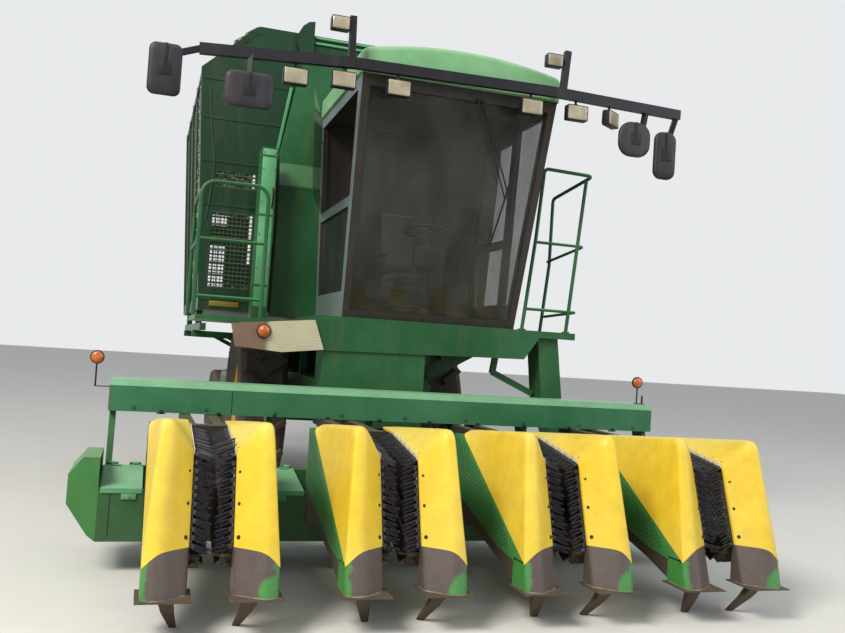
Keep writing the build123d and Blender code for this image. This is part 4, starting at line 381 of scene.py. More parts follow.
@as_finish
def striped_sheet(tree, shader):
    """Pale weathered sheet with faint level stripes, brown with dust towards the walkway's end."""
    brown = between(tree, split(tree, place_pattern(tree))["X"], -0.98, -1.02)
    coat = blend_colours(tree, brown, colour(184, 182, 164), colour(122, 98, 78))
    made = weather(tree, shader, coat, coat, fade=0.0, dusty=0.35, wear=0.4, gloss=0.5, depth=0.2)
    stripe = times(tree, between(tree, bands(tree, "Z", 13, 0.3), 0.55, 0.8), 0.5)
    stripe = times(tree, stripe, calculate(tree, "SUBTRACT", 1.0, brown))
    wire(tree, shader, Base_Color=blend_colours(tree, stripe, made, colour(206, 186, 110)))


@as_finish
def ram_chrome(tree, shader):
    lines = noise(tree, place_pattern(tree, (40, 1, 1)), 30.0, 3.0)
    wire(
        tree, shader, Base_Color=shade(tree, lines, 0.4, 0.7, (206, 206, 204), (168, 160, 148)),
        Roughness=between(tree, lines, 0.2, 0.8, 0.12, 0.28), Metallic=1.0,
    )


@as_finish
def brush_bristle(tree, shader):
    """Black nylon bristles, with a painted sheen: paler grey streaks along their length in the colour."""
    fine = noise(tree, place_pattern(tree, (1, 6, 6)), 60.0, 5.0, 0.7)
    wire(
        # The paler grey in the bristle colour is a painted sheen.
        tree, shader, Base_Color=shade(tree, fine, 0.4, 0.75, (14, 14, 20), (78, 76, 86)),
        Roughness=between(tree, fine, 0.3, 0.8, 0.3, 0.5),
    )
    bump(tree, fine, shader, 0.3, 0.002)


@as_finish
def cab_window(tree, shader):
    """Brown-tinted glass with a film of dust."""
    film = between(tree, noise(tree, place_pattern(tree, (1, 1, 0.4)), 3.0, 6.0, 0.6), 0.35, 0.75)
    wire(
        tree, shader, Base_Color=blend_colours(tree, film, colour(46, 50, 46), colour(84, 86, 80)),
        Roughness=between(tree, film, 0.0, 1.0, 0.03, 0.12), Alpha=between(tree, film, 0.0, 1.0, 0.30, 0.46),
        Specular_IOR_Level=0.5,
    )


@as_finish
def lamp_lens(tree, shader):
    ribs = bands(tree, "X", 22)
    grime = between(tree, noise(tree, place_pattern(tree), 7.0, 5.0), 0.35, 0.7)
    glassy = blend_colours(tree, ribs, colour(164, 154, 130), colour(172, 163, 140))
    wire(
        tree, shader, Base_Color=blend_colours(tree, grime, glassy, colour(122, 110, 90)),
        Roughness=between(tree, ribs, 0.0, 1.0, 0.18, 0.3), Coat_Weight=0.6,
    )
    bump(tree, ribs, shader, 0.15, 0.001)


@as_finish
def mirror_glass(tree, shader):
    film = noise(tree, place_pattern(tree), 12.0, 5.0)
    wire(
        tree, shader, Base_Color=blend_colours(tree, film, colour(196, 202, 206), colour(168, 172, 172)),
        Roughness=between(tree, film, 0.3, 0.7, 0.02, 0.14), Metallic=1.0,
    )


@as_finish
def seat_cloth(tree, shader):
    """Brown woven cloth, worn thin where the driver sits."""
    weave = noise(tree, place_pattern(tree, (3, 3, 3)), 160.0, 2.0)
    worn = noise(tree, place_pattern(tree), 5.0, 4.0)
    base = shade(tree, worn, 0.35, 0.7, (58, 49, 38), (90, 79, 62))
    woven = between(tree, weave, 0.4, 0.6, 0.0, 0.35)
    wire(
        tree, shader, Base_Color=blend_colours(tree, woven, base, colour(40, 36, 32)),
        Roughness=between(tree, weave, 0.2, 0.8, 0.8, 0.95), Sheen_Weight=0.3,
    )
    bump(tree, weave, shader, 0.4, 0.001)


@as_finish
def amber_plastic(tree, shader):
    cells = noise(tree, place_pattern(tree), 40.0, 3.0)
    wire(
        tree, shader, Base_Color=shade(tree, cells, 0.35, 0.7, (206, 104, 26), (160, 74, 24)),
        Roughness=between(tree, cells, 0.3, 0.7, 0.25, 0.4), Coat_Weight=0.5,
    )
    bump(tree, cells, shader, 0.15, 0.002)


@as_finish
def cotton_lint(tree, shader):
    fluff = noise(tree, place_pattern(tree), 50.0, 6.0, 0.7)
    wire(
        tree, shader, Base_Color=shade(tree, fluff, 0.35, 0.7, (112, 104, 90), (176, 170, 156)),
        Roughness=between(tree, fluff, 0.3, 0.7, 0.85, 1.0),
    )
    bump(tree, fluff, shader, 0.6, 0.006)


made_finishes = {}


def paint(finish):
    """A finish's material, made once."""
    if finish not in made_finishes:
        made_finishes[finish] = finish()
    return made_finishes[finish]


# Modelling helpers
def pick(*objects):
    """Selects these objects alone, the first one active."""
    bpy.ops.object.select_all(action="DESELECT")
    for obj in objects:
        obj.select_set(True)
    bpy.context.view_layer.objects.active = objects[0]


def modify(obj, kind, **settings):
    """A modifier, applied."""
    pick(obj)
    modifier = obj.modifiers.new(kind.lower(), kind)
    for key, value in settings.items():
        setattr(modifier, key, value)
    bpy.ops.object.modifier_apply(modifier=modifier.name)
    return obj


def round_edges(obj, width, segments=2):
    """Rounds the sharp edges."""
    if width:
        limit = math.radians(30)
        modify(obj, "BEVEL", width=width, segments=segments, limit_method="ANGLE", angle_limit=limit)
    return obj


def frozen():
    """The new object, with its place, turn and size moved into its mesh."""
    bpy.ops.object.transform_apply(location=True, rotation=True, scale=True)
    return bpy.context.object


def every_face(centre, normal):
    return True


def open_edit(obj, kind, test):
    """Opens a piece in edit mode, with the faces or edges that pass a test selected."""
    pick(obj)
    bpy.ops.object.mode_set(mode="EDIT")
    bpy.ops.mesh.select_mode(type=kind)
    bpy.ops.mesh.select_all(action="DESELECT")
    bpy.ops.object.mode_set(mode="OBJECT")
    mesh = obj.data
    if kind == "FACE":
        for face in mesh.polygons:
            face.select = test(face.center, face.normal)
    else:
        for edge in mesh.edges:
            edge.select = test(*(mesh.vertices[index].co for index in edge.vertices))
    bpy.ops.object.mode_set(mode="EDIT")


def close_edit():
    bpy.ops.object.mode_set(mode="OBJECT")


def push_faces(steps):
    """Extrudes the selected faces by each step in turn, along Y, and draws them in."""
    for push, across, up in steps:
        bpy.ops.mesh.extrude_region_move(TRANSFORM_OT_translate={"value": (0, push, 0)})
        bpy.ops.transform.resize(value=(across, 1, up))
    close_edit()


def block(low, high, edge=0.004, segments=2):
    """A box between two corners, with rounded edges."""
    low, high = Vector(low), Vector(high)
    bpy.ops.mesh.primitive_cube_add(size=1, location=(low + high) / 2)
    bpy.context.object.scale = high - low
    return round_edges(frozen(), edge, segments)


def rod(start, end, radius, sides=16, tip=None, edge=0.0):
    """A round bar or cone between two points."""
    start, end = Vector(start), Vector(end)
    along = end - start
    bpy.ops.mesh.primitive_cone_add(
        vertices=sides, radius1=radius, radius2=radius if tip is None else tip, depth=along.length,
        location=(start + end) / 2, rotation=along.to_track_quat("Z", "Y").to_euler(),
    )
    return round_edges(frozen(), edge)


def ball(middle, size, rings=10):
    """A squashed ball."""
    bpy.ops.mesh.primitive_uv_sphere_add(segments=2 * rings, ring_count=rings, radius=1, location=middle)
    bpy.context.object.scale = size
    return frozen()


def plate(outline, axis, span, edge=0.003):
    """A flat plate of an outline, between two places along an axis."""
    bpy.ops.mesh.primitive_circle_add(vertices=len(outline), radius=1, fill_type="NGON")
    obj = bpy.context.object
    first, second = [index for index in range(3) if index != axis]
    for vertex, (a, b) in zip(obj.data.vertices, outline):
        spot = [0.0, 0.0, 0.0]
        spot[first], spot[second], spot[axis] = a, b, span[0]
        vertex.co = spot
    open_edit(obj, "FACE", every_face)
    offset = [0.0, 0.0, 0.0]
    offset[axis] = span[1] - span[0]
    bpy.ops.mesh.extrude_region_move(TRANSFORM_OT_translate={"value": offset})
    bpy.ops.mesh.select_all(action="SELECT")
    bpy.ops.mesh.normals_make_consistent(inside=False)
    close_edit()
    return round_edges(obj, edge)


def linked(name, data):
    """An object of some data, in the scene."""
    obj = bpy.data.objects.new(name, data)
    bpy.context.scene.collection.objects.link(obj)
    return obj


def tube(points, radius, smooth=True, sides=3):
    """A bent tube or wire along points."""
    data = bpy.data.curves.new("tube", "CURVE")
    data.dimensions = "3D"
    data.bevel_depth = radius
    data.bevel_resolution = sides
    data.use_fill_caps = True
    data.resolution_u = 6
    spline = data.splines.new("NURBS" if smooth else "POLY")
    spline.points.add(len(points) - 1)
    for point, place in zip(spline.points, points):
        point.co = (*place, 1)
    if smooth:
        spline.order_u = 3
        spline.use_endpoint_u = True
    pick(linked("tube", data))
    bpy.ops.object.convert(target="MESH")
    return bpy.context.object


def together(*objects):
    """One object of several."""
    pick(*objects)
    if len(objects) > 1:
        bpy.ops.object.join()
    return bpy.context.object


def moved(obj, matrix):
    """The piece's mesh, moved."""
    obj.data.transform(matrix)
    return obj


def shifted(obj, *offset):
    return moved(obj, Matrix.Translation(offset))


def copies(obj, matrices):
    """One object with a copy of the piece at each place, in place of the piece itself."""
    made = []
    for matrix in matrices:
        copy = linked(obj.name, obj.data.copy())
        copy.data.transform(matrix)
        if matrix.determinant() < 0:
            copy.data.flip_normals()
        made.append(copy)
    bpy.data.objects.remove(obj)
    return together(*made)


def facing(spot, normal, twist=0.0):
    """A place whose Z looks along a normal."""
    turn = Vector(normal).to_track_quat("Z", "Y").to_matrix().to_4x4()
    return Matrix.Translation(Vector(spot)) @ turn @ Matrix.Rotation(twist, 4, "Z")


def settle(piece, name, finish, body="carrier", replaced=(), angle=35):
    """Finishes a piece, or a list of them: name, smooth faces, material and body."""
    obj = together(*piece) if isinstance(piece, list) else piece
    pick(obj)
    frozen()
    bpy.ops.object.shade_smooth_by_angle(angle=math.radians(angle))
    obj.name = name
    obj.data.name = name
    obj.data.materials.clear()
    obj.data.materials.append(paint(finish))
    if replaced:
        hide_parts(*replaced)
    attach(obj, body)
    return obj


def pressed_sheet(columns, rows, place):
    """A sheet over a cage of points, rounded as if it were pressed."""
    bpy.ops.mesh.primitive_grid_add(x_subdivisions=columns - 1, y_subdivisions=rows - 1, size=1)
    sheet = bpy.context.object
    for vertex in sheet.data.vertices:
        column = round((vertex.co.x + 0.5) * (columns - 1))
        row = round((vertex.co.y + 0.5) * (rows - 1))
        vertex.co = place(column, row)
    return modify(sheet, "SUBSURF", levels=3, render_levels=3)


def from_node(name):
    """A merged copy of a CAD node's mesh, with whole faces in place of triangles."""
    obj = linked(name + "_copy", nodes[name].data.copy())
    open_edit(obj, "FACE", every_face)
    bpy.ops.mesh.select_all(action="SELECT")
    bpy.ops.mesh.remove_doubles(threshold=0.00002)
    bpy.ops.mesh.dissolve_limited(angle_limit=math.radians(1), delimit={"NORMAL"})
    bpy.ops.mesh.normals_make_consistent(inside=False)
    close_edit()
    return obj


def bolts(name, places, radius, height, body, finish=black_rubber):
    """Hexagon heads on washers, each at a spot and along a normal."""
    matrices = [facing(spot, normal, random.uniform(0, 1)) for spot, normal in places]
    head = rod((0, 0, 0), (0, 0, height), radius, 6, tip=radius * 0.94)
    washer = rod((0, 0, 0), (0, 0, height * 0.25), radius * 1.5, 14)
    settle(copies(together(head, washer), matrices), name, finish, body)


# Header: hoods and noses
HOOD_LINES = {
    # distance from the row's middle: nose, crest, brow, rear top as (y, z)
    "inner": (0.110, (0.200, 0.430), (0.370, 0.895), (0.920, 0.980), (1.170, 0.985)),
    "ridge": (0.268, (0.066, 0.430), (0.260, 1.080), (0.920, 1.014), (1.170, 0.990)),
    "outer": (0.340, (0.080, 0.350), (0.262, 1.062), (0.920, 1.008), (1.170, 0.985)),
}
HOOD_PLACES = [Matrix.Translation((row, 0, 0)) @ Matrix.Diagonal((side, 1, 1, 1)) for row, side in ROW_SIDES]
HOOD_LEAN = 0.05
HOOD_FOOT = (Vector((0.340, FRONT + 0.080, 0.350)), Vector((0.340, FRONT + 1.170, 0.955)))
HOOD_ROWS = (
    # section between two corners, share of the way along it
    (0, 0.0), (0, 0.015), (0, 0.5), (0, 0.86), (1, 0.0), (1, 0.14), (1, 0.5), (2, 0.0), (2, 0.5), (2, 1.0),
)
NOSE_ROWS = (0.0, 0.04, 0.5, 0.95, 1.0)
NOSE_LOW = 0.208
NOSE_BACK = FRONT + 0.234
FLANGE_STRIPS = 6
FLANGE_NOTCH = 0.012
HOOD_BOLT_SHARES = (0.10, 0.43, 0.75)
HOOD_RIVET_SHARES = (0.04, 0.22, 0.40, 0.58, 0.76)
RIVET_INSET = 0.014
SLOT_LINES, SLOT_STEPS = 30, 24
SLOT_PITCH, SLOT_RISE = 0.033, 0.028


def hood_point(line, index):
    """A corner of a hood, from the row's middle."""
    across, *rest = HOOD_LINES[line]
    y, z = rest[index]
    return Vector((across, FRONT + y, z))


def on_hood(row, side, spot):
    """A hood's spot, or a direction with row 0, on one side of a row."""
    return Vector((row + side * spot.x, spot.y, spot.z))


def hood_place(column, row):
    """A cage point of a hood: columns from the inner edge to the flank's foot, rows to the rear."""
    section, share = HOOD_ROWS[row]
    inner, ridge, outer = [
        hood_point(line, section).lerp(hood_point(line, section + 1), share) for line in HOOD_LINES
    ]
    corners = [hood_point("outer", index) for index in range(4)]
    runs = [(after - before).length for before, after in zip(corners, corners[1:])]
    along = (sum(runs[:section]) + runs[section] * share) / sum(runs)
    foot = HOOD_FOOT[0].lerp(HOOD_FOOT[1], 0.02 + 0.98 * along)
    rise = 1.0 if section else min(max((inner.z - 0.43) / 0.465, 0), 1)
    ridge.x -= HOOD_LEAN * rise * 0.8
    outer.x -= HOOD_LEAN * rise
    lip = Vector((0.003, 0.002, -0.018) if section else (0.003, 0.018, -0.006))
    spots = (
        inner + lip,
        inner,
        inner.lerp(ridge, 0.06),
        inner.lerp(ridge, 0.5),
        inner.lerp(ridge, 0.94),
        ridge.lerp(outer, 0.55),
        outer,
        outer.lerp(foot, 0.15),
        outer.lerp(foot, 0.6),
        foot,
    )
    return spots[column]


def nose_place(column, row):
    """A cage point of a nose: columns round it from the slot to the flank, rows upwards."""
    spots = []
    for line in HOOD_LINES:
        nose, crest = hood_point(line, 0), hood_point(line, 1)
        low = nose.lerp(crest, (NOSE_LOW - nose.z) / (crest.z - nose.z))
        spots.append(low.lerp(nose, NOSE_ROWS[row]))
        spots[-1].x = nose.x
    inner, ridge, outer = spots
    rear = Vector((outer.x, NOSE_BACK, outer.z))
    columns = (
        Vector((inner.x, NOSE_BACK, inner.z)),
        inner + Vector((0, 0.008, 0)),
        inner.lerp(ridge, 0.05),
        inner.lerp(ridge, 0.5),
        inner.lerp(ridge, 0.94),
        ridge.lerp(outer, 0.55),
        outer,
        outer.lerp(rear, 0.2),
        rear,
    )
    return columns[column]


def row_shells(columns, rows, place, thickness, name, finish, node):
    """A pressed sheet with its thickness, on both sides of every row."""
    sheets = copies(pressed_sheet(columns, rows, place), HOOD_PLACES)
    modify(sheets, "SOLIDIFY", thickness=thickness, offset=-1)
    settle(sheets, name, finish, "header", [node], angle=50)


def hood_shells():
    rows = len(HOOD_ROWS)
    row_shells(10, rows, hood_place, 0.004, "hood_shells", hood_yellow, "row_hoods")


def nose_shells():
    rows = len(NOSE_ROWS)
    row_shells(9, rows, nose_place, 0.005, "nose_shells", nose_skin, "row_tips")


def hood_flanges():
    """The pale notched flange along each hood's upper inner edge."""
    start, end = hood_point("inner", 1), hood_point("inner", 2)
    low, high = -0.020, 0.009
    pieces = []
    for index in range(FLANGE_STRIPS):
        near = start.lerp(end, index / FLANGE_STRIPS + FLANGE_NOTCH)
        far = start.lerp(end, (index + 1) / FLANGE_STRIPS - FLANGE_NOTCH)
        corners = (near, low), (far, low), (far, high), (near, high)
        outline = [(spot.y, spot.z + rise) for spot, rise in corners]
        pieces.append(plate(outline, 0, (near.x - 0.0035, near.x + 0.0005), 0.0008))
    settle(copies(together(*pieces), HOOD_PLACES), "hood_flanges", pale_edge, "header")


def row_plates(outline, near, far, edge):
    """A plate of an outline on both sides of every row."""
    outline = [(FRONT + y, z) for y, z in outline]
    return [plate(outline, 0, sorted((row + side * near, row + side * far)), edge) for row, side in ROW_SIDES]


def throat_shade_sheets():
    """Black sheets under the hoods' inner edges, down to just above the rolls: painted shade for the dark
    inside the hoods.
    """
    outline = ((0.215, 0.440), (0.380, 0.880), (0.920, 0.962), (1.165, 0.962), (1.165, 0.820), (0.320, 0.445))
    sheets = row_plates(outline, 0.114, 0.117, 0.0008)
    settle(sheets, "throat_shade_sheets", black_rubber, "header")


def panel_plates():
    """The hoods' lower side panels, with their rows of staggered slots drawn as black marks: painted shade
    for the dark seen through the open slots.
    """
    outline = (
        (0.120, 0.358), (0.2353, 0.358), (0.2353, 0.338), (0.470, 0.362), (1.220, 0.560),
        (1.3497, 0.600), (1.3497, 0.945), (1.170, 0.953), (0.120, 0.370),
    )
    panels = row_plates(outline, 0.3343, 0.340, 0.001)
    places = []
    for line in range(SLOT_LINES):
        y = 0.34 + line * SLOT_PITCH
        low = 0.338 + max(y - 0.2353, 0) * 0.10 if y < 0.47 else 0.362 + (y - 0.47) * 0.264
        high = min(0.350 + (y - 0.08) * 0.555, 0.945)
        for step in range(SLOT_STEPS):
            z = 0.36 + (step + 0.5 * (line % 2)) * SLOT_RISE
            if low + 0.025 < z < high - 0.03:
                places.append(Matrix.Translation((0, FRONT + y, z)))
    # Black slot marks on the panel: painted shade standing in for the open slots.
    mark = rod((-0.0006, 0, 0), (0.0006, 0, 0), 0.008, 4)
    one = copies(moved(mark, Matrix.Diagonal((1, 0.75, 1.25, 1))), places)
    slots = copies(one, [Matrix.Translation((row + side * 0.3402, 0, 0)) for row, side in ROW_SIDES])
    settle(panels, "panel_plates", panel_green, "header", ["side_panels"])
    settle(slots, "panel_slot_shade", black_rubber, "header")


def hood_bolts():
    """Three bolts up each hood's inner edge and small ones along its upper edge."""
    low, high = [[hood_point(line, index) for line in ("inner", "ridge")] for index in (0, 1)]
    front = (high[0] - low[0]).cross(low[1] - low[0]).normalized()
    front = front if front.y < 0 else -front
    along, across = hood_point("inner", 2) - high[0], high[1] - high[0]
    upper = along.cross(across).normalized()
    upper = upper if upper.z > 0 else -upper
    large, small = [], []
    for row, side in ROW_SIDES:
        for share in HOOD_BOLT_SHARES:
            spot = low[0].lerp(high[0], share).lerp(low[1].lerp(high[1], share), 0.14)
            large.append((on_hood(row, side, spot), on_hood(0, side, front)))
        for share in HOOD_RIVET_SHARES:
            lift = across.z / across.x * RIVET_INSET * (1 - share)
            spot = high[0] + along * share + Vector((RIVET_INSET, 0, lift))
            small.append((on_hood(row, side, spot), on_hood(0, side, upper)))
    bolts("hood_bolts", large, 0.0075, 0.007, "header")
    bolts("hood_rivets", small, 0.0045, 0.004, "header")


# Header: brushes
TUFTS = 25
TUFT_BRISTLES = 15
BUNDLE_BRISTLES = 70
BRUSH_TURN = 0.46
SCREEN_WIDTH = 0.196
# Pale dots on the last row's screen: painted light through its perforations.
LIGHT_DOT_LINES, LIGHT_DOTS_IN_LINE = 13, 7
LIGHT_DOT_PITCH = 0.024
LIGHT_DOT_REACH = 0.085
LIGHT_DOT_SHARE_LEFT = 0.9


def spread(amount):
    return random.uniform(-amount, amount)


def bristle_tuft():
    """A flat fan of bristles that reaches along X from the origin."""
    fan = []
    for index in range(TUFT_BRISTLES):
        lift = spread(0.006)
        aside = (index - 7) / 7
        end = (0.105 + spread(0.014), aside * 0.020 + spread(0.004), lift * 1.8)
        fan.append(rod((0, aside * 0.010, lift), end, 0.0026, 4, tip=0.0012))
    return together(*fan, block((-0.004, -0.013, -0.009), (0.026, 0.013, 0.009), 0.002, 1))


def brush_place(row, side, share):
    """A place along a hood's inner edge, just inside the slot."""
    low, high, rear = [hood_point("inner", index) for index in range(3)]
    if share < BRUSH_TURN:
        spot = low.lerp(high, share / BRUSH_TURN)
    else:
        spot = high.lerp(rear, (share - BRUSH_TURN) / (1 - BRUSH_TURN))
    return Vector((row + side * (spot.x - 0.004), spot.y + 0.022, spot.z - 0.02))


def brush_tufts():
    """Stacked tufts down both sides of each row's slot, on their backing strips."""
    tuft = bristle_tuft()
    matrices, strips = [], []
    for row, side in ROW_SIDES:
        line = [brush_place(row, side, (index + 0.5) / TUFTS) for index in range(TUFTS)]
        for index, spot in enumerate(line):
            ahead = line[min(index + 1, TUFTS - 1)] - line[max(index - 1, 0)]
            inward = Vector((-side, -0.35 + spread(0.08), -0.30 + spread(0.08))).normalized()
            up = ahead.cross(inward).normalized()
            turn = Matrix((inward, up.cross(inward), up)).transposed().to_4x4()
            reach = Matrix.Diagonal((random.uniform(0.82, 0.98), 1, 1, 1))
            matrices.append(Matrix.Translation(spot) @ turn @ reach)
        strips.append(tube([line[0], *line[::3], line[-1]], 0.009, smooth=False, sides=2))
    pieces = [copies(tuft, matrices), *strips]
    settle(pieces, "brush_tufts", brush_bristle, "header", ["brush_combs"])


def bristle_bundle():
    """The long loose bristles at the top of the first row's slot."""
    fine = []
    top = hood_point("inner", 1) + Vector((ROWS[0], 0, 0))
    for index in range(BUNDLE_BRISTLES):
        share = index / (BUNDLE_BRISTLES - 1)
        start = top + Vector((-0.002, 0.10 - 0.09 * share, 0.06 - 0.21 * share))
        start += Vector((0, spread(0.012), spread(0.006)))
        end = start + Vector((-0.125 + spread(0.012), -0.02, -0.045 - 0.02 * share))
        fine.append(rod(start, end, 0.0022, 4, tip=0.001))
    settle(fine, "bristle_bundle", brush_bristle, "header")


def slot_screen():
    """The black screen that closes the last row's slot, with pale dots on it: painted light showing through
    its perforations.
    """
    row = ROWS[3]
    low, high = hood_point("inner", 0), hood_point("inner", 1)
    along = (high - low).normalized()

    def on_sheet(across, share, out, lift):
        spot = low.lerp(high, 0.12 + 0.82 * share)
        belly = 0.02 * math.cos(6 * across / SCREEN_WIDTH)
        return Vector((row + across, spot.y + out + belly, spot.z + lift))

    bpy.ops.mesh.primitive_grid_add(x_subdivisions=6, y_subdivisions=14, size=1)
    sheet = bpy.context.object
    for vertex in sheet.data.vertices:
        vertex.co = on_sheet(vertex.co.x * SCREEN_WIDTH, vertex.co.y + 0.5, 0.035, -0.012)
    modify(sheet, "SOLIDIFY", thickness=0.006, offset=0)
    modify(sheet, "SUBSURF", levels=1, render_levels=1)
    settle(sheet, "slot_screen", black_rubber, "header")
    normal = (0, -along.z, along.y)
    places = []
    for line in range(LIGHT_DOT_LINES):
        for place in range(LIGHT_DOTS_IN_LINE):
            across = (place - 3 + 0.5 * (line % 2)) * LIGHT_DOT_PITCH - 0.02 + line * 0.004
            if abs(across) < LIGHT_DOT_REACH and random.random() < LIGHT_DOT_SHARE_LEFT:
                spot = on_sheet(across, 0.02 + line * 0.052, 0.031, -0.011)
                places.append(facing(spot, normal))
    # Pale grey dots: painted light, for light shining through the screen's perforations.
    light_dot = ball((0, 0, 0), (0.0035, 0.0065, 0.004), 5)
    settle(copies(light_dot, places), "screen_light_dots", frame_grey, "header")


# Header: beam and trough
def beam_dress():
    """The beam's seam, end reflectors and the bolts on its face."""
    low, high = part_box("header_beam")
    y, z = low.y, low.z
    seam = block((-1.30, y - 0.001, z + 0.004), (-1.294, y + 0.003, high.z - 0.046), 0.0006, 1)
    settle(seam, "beam_seam", black_rubber, "header")
    strips = []
    for side in SIDES:
        near, far = sorted((side * (high.x - 0.001), side * (high.x + 0.003)))
        strips.append(block((near, y + 0.02, z + 0.012), (far, y + 0.075, high.z - 0.06), 0.001, 1))
    settle(strips, "end_reflectors", amber_plastic, "header")
    places = [((-1.96 + index * 0.49, y, z + 0.03), (0, -1, 0)) for index in range(9)]
    bolts("beam_bolts", places, 0.009, 0.007, "header", machine_green)
    hooks = []
    for index in range(10):
        x = -1.78 + index * 0.395
        hooks.append(block((x - 0.030, y - 0.006, z - 0.010), (x + 0.030, y + 0.020, z - 0.002), 0.002))
        hooks.append(block((x - 0.012, y - 0.012, z - 0.010), (x + 0.012, y - 0.004, z + 0.018), 0.002))
    settle(hooks, "beam_clips", black_frame, "header")


def trough_dress():
    """Seams, latches and hinge straps on the cross trough and its lids."""
    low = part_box("trough_walls")[0]
    y, z = low.y, low.z
    seams, latches, straps = [], [], []
    for index in range(9):
        x = -2.06 + index * 0.515
        seams.append(block((x - 0.003, y - 0.002, z + 0.02), (x + 0.003, y + 0.002, z + 0.29), 0.0008, 1))
    for gap in (-1.95, -1.016, 0.0, 1.016, 1.95):
        latches.append(block((gap - 0.045, y - 0.012, 0.462), (gap + 0.045, y - 0.001, 0.497), 0.003))
        latches.append(rod((gap, y - 0.012, 0.478), (gap, y - 0.020, 0.478), 0.009, 10, edge=0.002))
        for side in SIDES:
            x = gap + side * 0.09
            straps.append(block((x - 0.03, -2.10, 0.606), (x + 0.03, -2.066, 0.611), 0.001, 1))
    settle(seams, "trough_seams", black_rubber, "header")
    settle(latches, "lid_latches", mint_green, "header")
    settle(straps, "hinge_straps", mint_green, "header")


# Lamps and mirrors
HANGING_LAMP = (0.186, 0.086, 0.126)
ROOF_LAMP = (0.142, 0.086, 0.106)
WORK_LAMPS = (
    # x, y, z, turn about the upright, whether it hangs from the bar
    (-1.000, -1.800, 3.473, 0, True),
    (-0.645, -1.849, 3.488, 0, True),
    (-0.215, -1.850, 3.488, 0, True),
    (0.895, -1.850, 3.504, 0, True),
    (1.300, -1.845, 3.514, 0, True),
    (1.618, -1.836, 3.512, 35, True),
    (-0.6975, -1.850, 3.910, 0, False),
    (1.0725, -1.850, 3.910, 0, False),
)
HEADER_LAMPS = (
    # x, lamp height, foot of the stalk
    (-2.229, 1.310, 1.112),
    (2.032, 1.348, 1.175),
)
HEADER_LAMP_Y = FRONT + 2.09
MIRRORS = (
    # x, z, width, height, corner
    (-1.930, 3.370, 0.230, 0.370, 0.050),
    (-1.335, 3.310, 0.350, 0.260, 0.055),
    (1.845, 3.370, 0.290, 0.290, 0.110),
    (2.140, 3.270, 0.200, 0.400, 0.070),
)
MIRROR_Y = FRONT + 2.035


def rounded_box(width, depth, height, corner, segments=4):
    """A box about the origin with well rounded upright corners."""
    obj = block((-width / 2, -depth / 2, -height / 2), (width / 2, depth / 2, height / 2), 0)
    open_edit(obj, "EDGE", lambda a, b: abs(a.y - b.y) > depth * 0.9)
    bpy.ops.mesh.bevel(offset=corner, segments=segments, affect="EDGES")
    close_edit()
    return obj


def front_face(centre, normal):
    return normal.y < -0.9


def back_face(centre, normal):
    return normal.y > 0.9


def crowned(obj, amount):
    """Draws the front of a rounded box in, so that it swells."""
    open_edit(obj, "FACE", front_face)
    steps = ((0.95, 0.45), (0.9, 0.3), (0.8, 0.17), (0.6, 0.08))
    push_faces([(-amount * push, share, share) for share, push in steps])
    return obj


def work_lamps():
    """Square work lamps: housing, bezel, ribbed lens and bracket."""
    housings, lenses = [], []
    for x, y, z, turn, hangs in WORK_LAMPS:
        width, depth, height = HANGING_LAMP if hangs else ROOF_LAMP
        place = Matrix.Translation((x, y, z)) @ Matrix.Rotation(math.radians(turn), 4, "Z")
        shell = rounded_box(width, depth * 0.7, height, 0.012)
        open_edit(shell, "FACE", back_face)
        push_faces([(depth * 0.2, 0.72, 0.66)])
        open_edit(shell, "FACE", front_face)
        push_faces([(0.0, 0.94, 0.94), (0.006, 0.98, 0.98)])
        round_edges(shell, 0.0015, 1)
        lens = crowned(rounded_box(width - 0.016, 0.012, height - 0.016, 0.008), 0.006)
        housings.append(moved(shifted(shell, 0, -0.008, 0), place))
        lenses.append(moved(shifted(lens, 0, -depth * 0.35 - 0.005, 0), place))
        if hangs:
            top = height / 2
            stem = rod((0, 0.012, top - 0.01), (0, 0.012, top + 0.048), 0.010, 12)
            strap = block((-0.035, -0.004, top - 0.001), (0.035, 0.028, top + 0.006), 0.002)
            nut = rod((0, 0.012, top + 0.006), (0, 0.012, top + 0.018), 0.017, 6)
            housings.append(moved(together(stem, strap, nut), place))
    settle(housings, "lamp_housings", black_frame, replaced=["work_lamps"])
    settle(lenses, "lamp_lenses", lamp_lens)


def header_lamps():
    """Two round amber lamps in rubber rings, on thin stalks at the header's ends."""
    y = HEADER_LAMP_Y
    posts = [
        block((-2.237, y - 0.015, 1.107), (-2.1305, y + 0.015, 1.113), 0.001, 1),
        block((2.012, y - 0.018, 1.1705), (2.098, y + 0.018, 1.176), 0.001, 1),
        rod((2.082, y, 1.175), (2.082, y, 1.236), 0.008, 12, edge=0.002),
    ]
    domes = [ball((2.082, y, 1.240), (0.008, 0.008, 0.005), 8)]
    for x, height, foot in HEADER_LAMPS:
        posts.append(rod((x, y, foot), (x, y, height - 0.040), 0.006, 12))
        posts.append(rod((x, y - 0.005, height), (x, y + 0.012, height), 0.048, 32, edge=0.003))
        domes.append(ball((x, y + 0.004, height), (0.044, 0.0255, 0.044), 12))
    settle(posts, "header_lamp_posts", black_frame, "header", ["header_lamps"])
    settle(domes, "header_lamp_lenses", amber_plastic, "header")


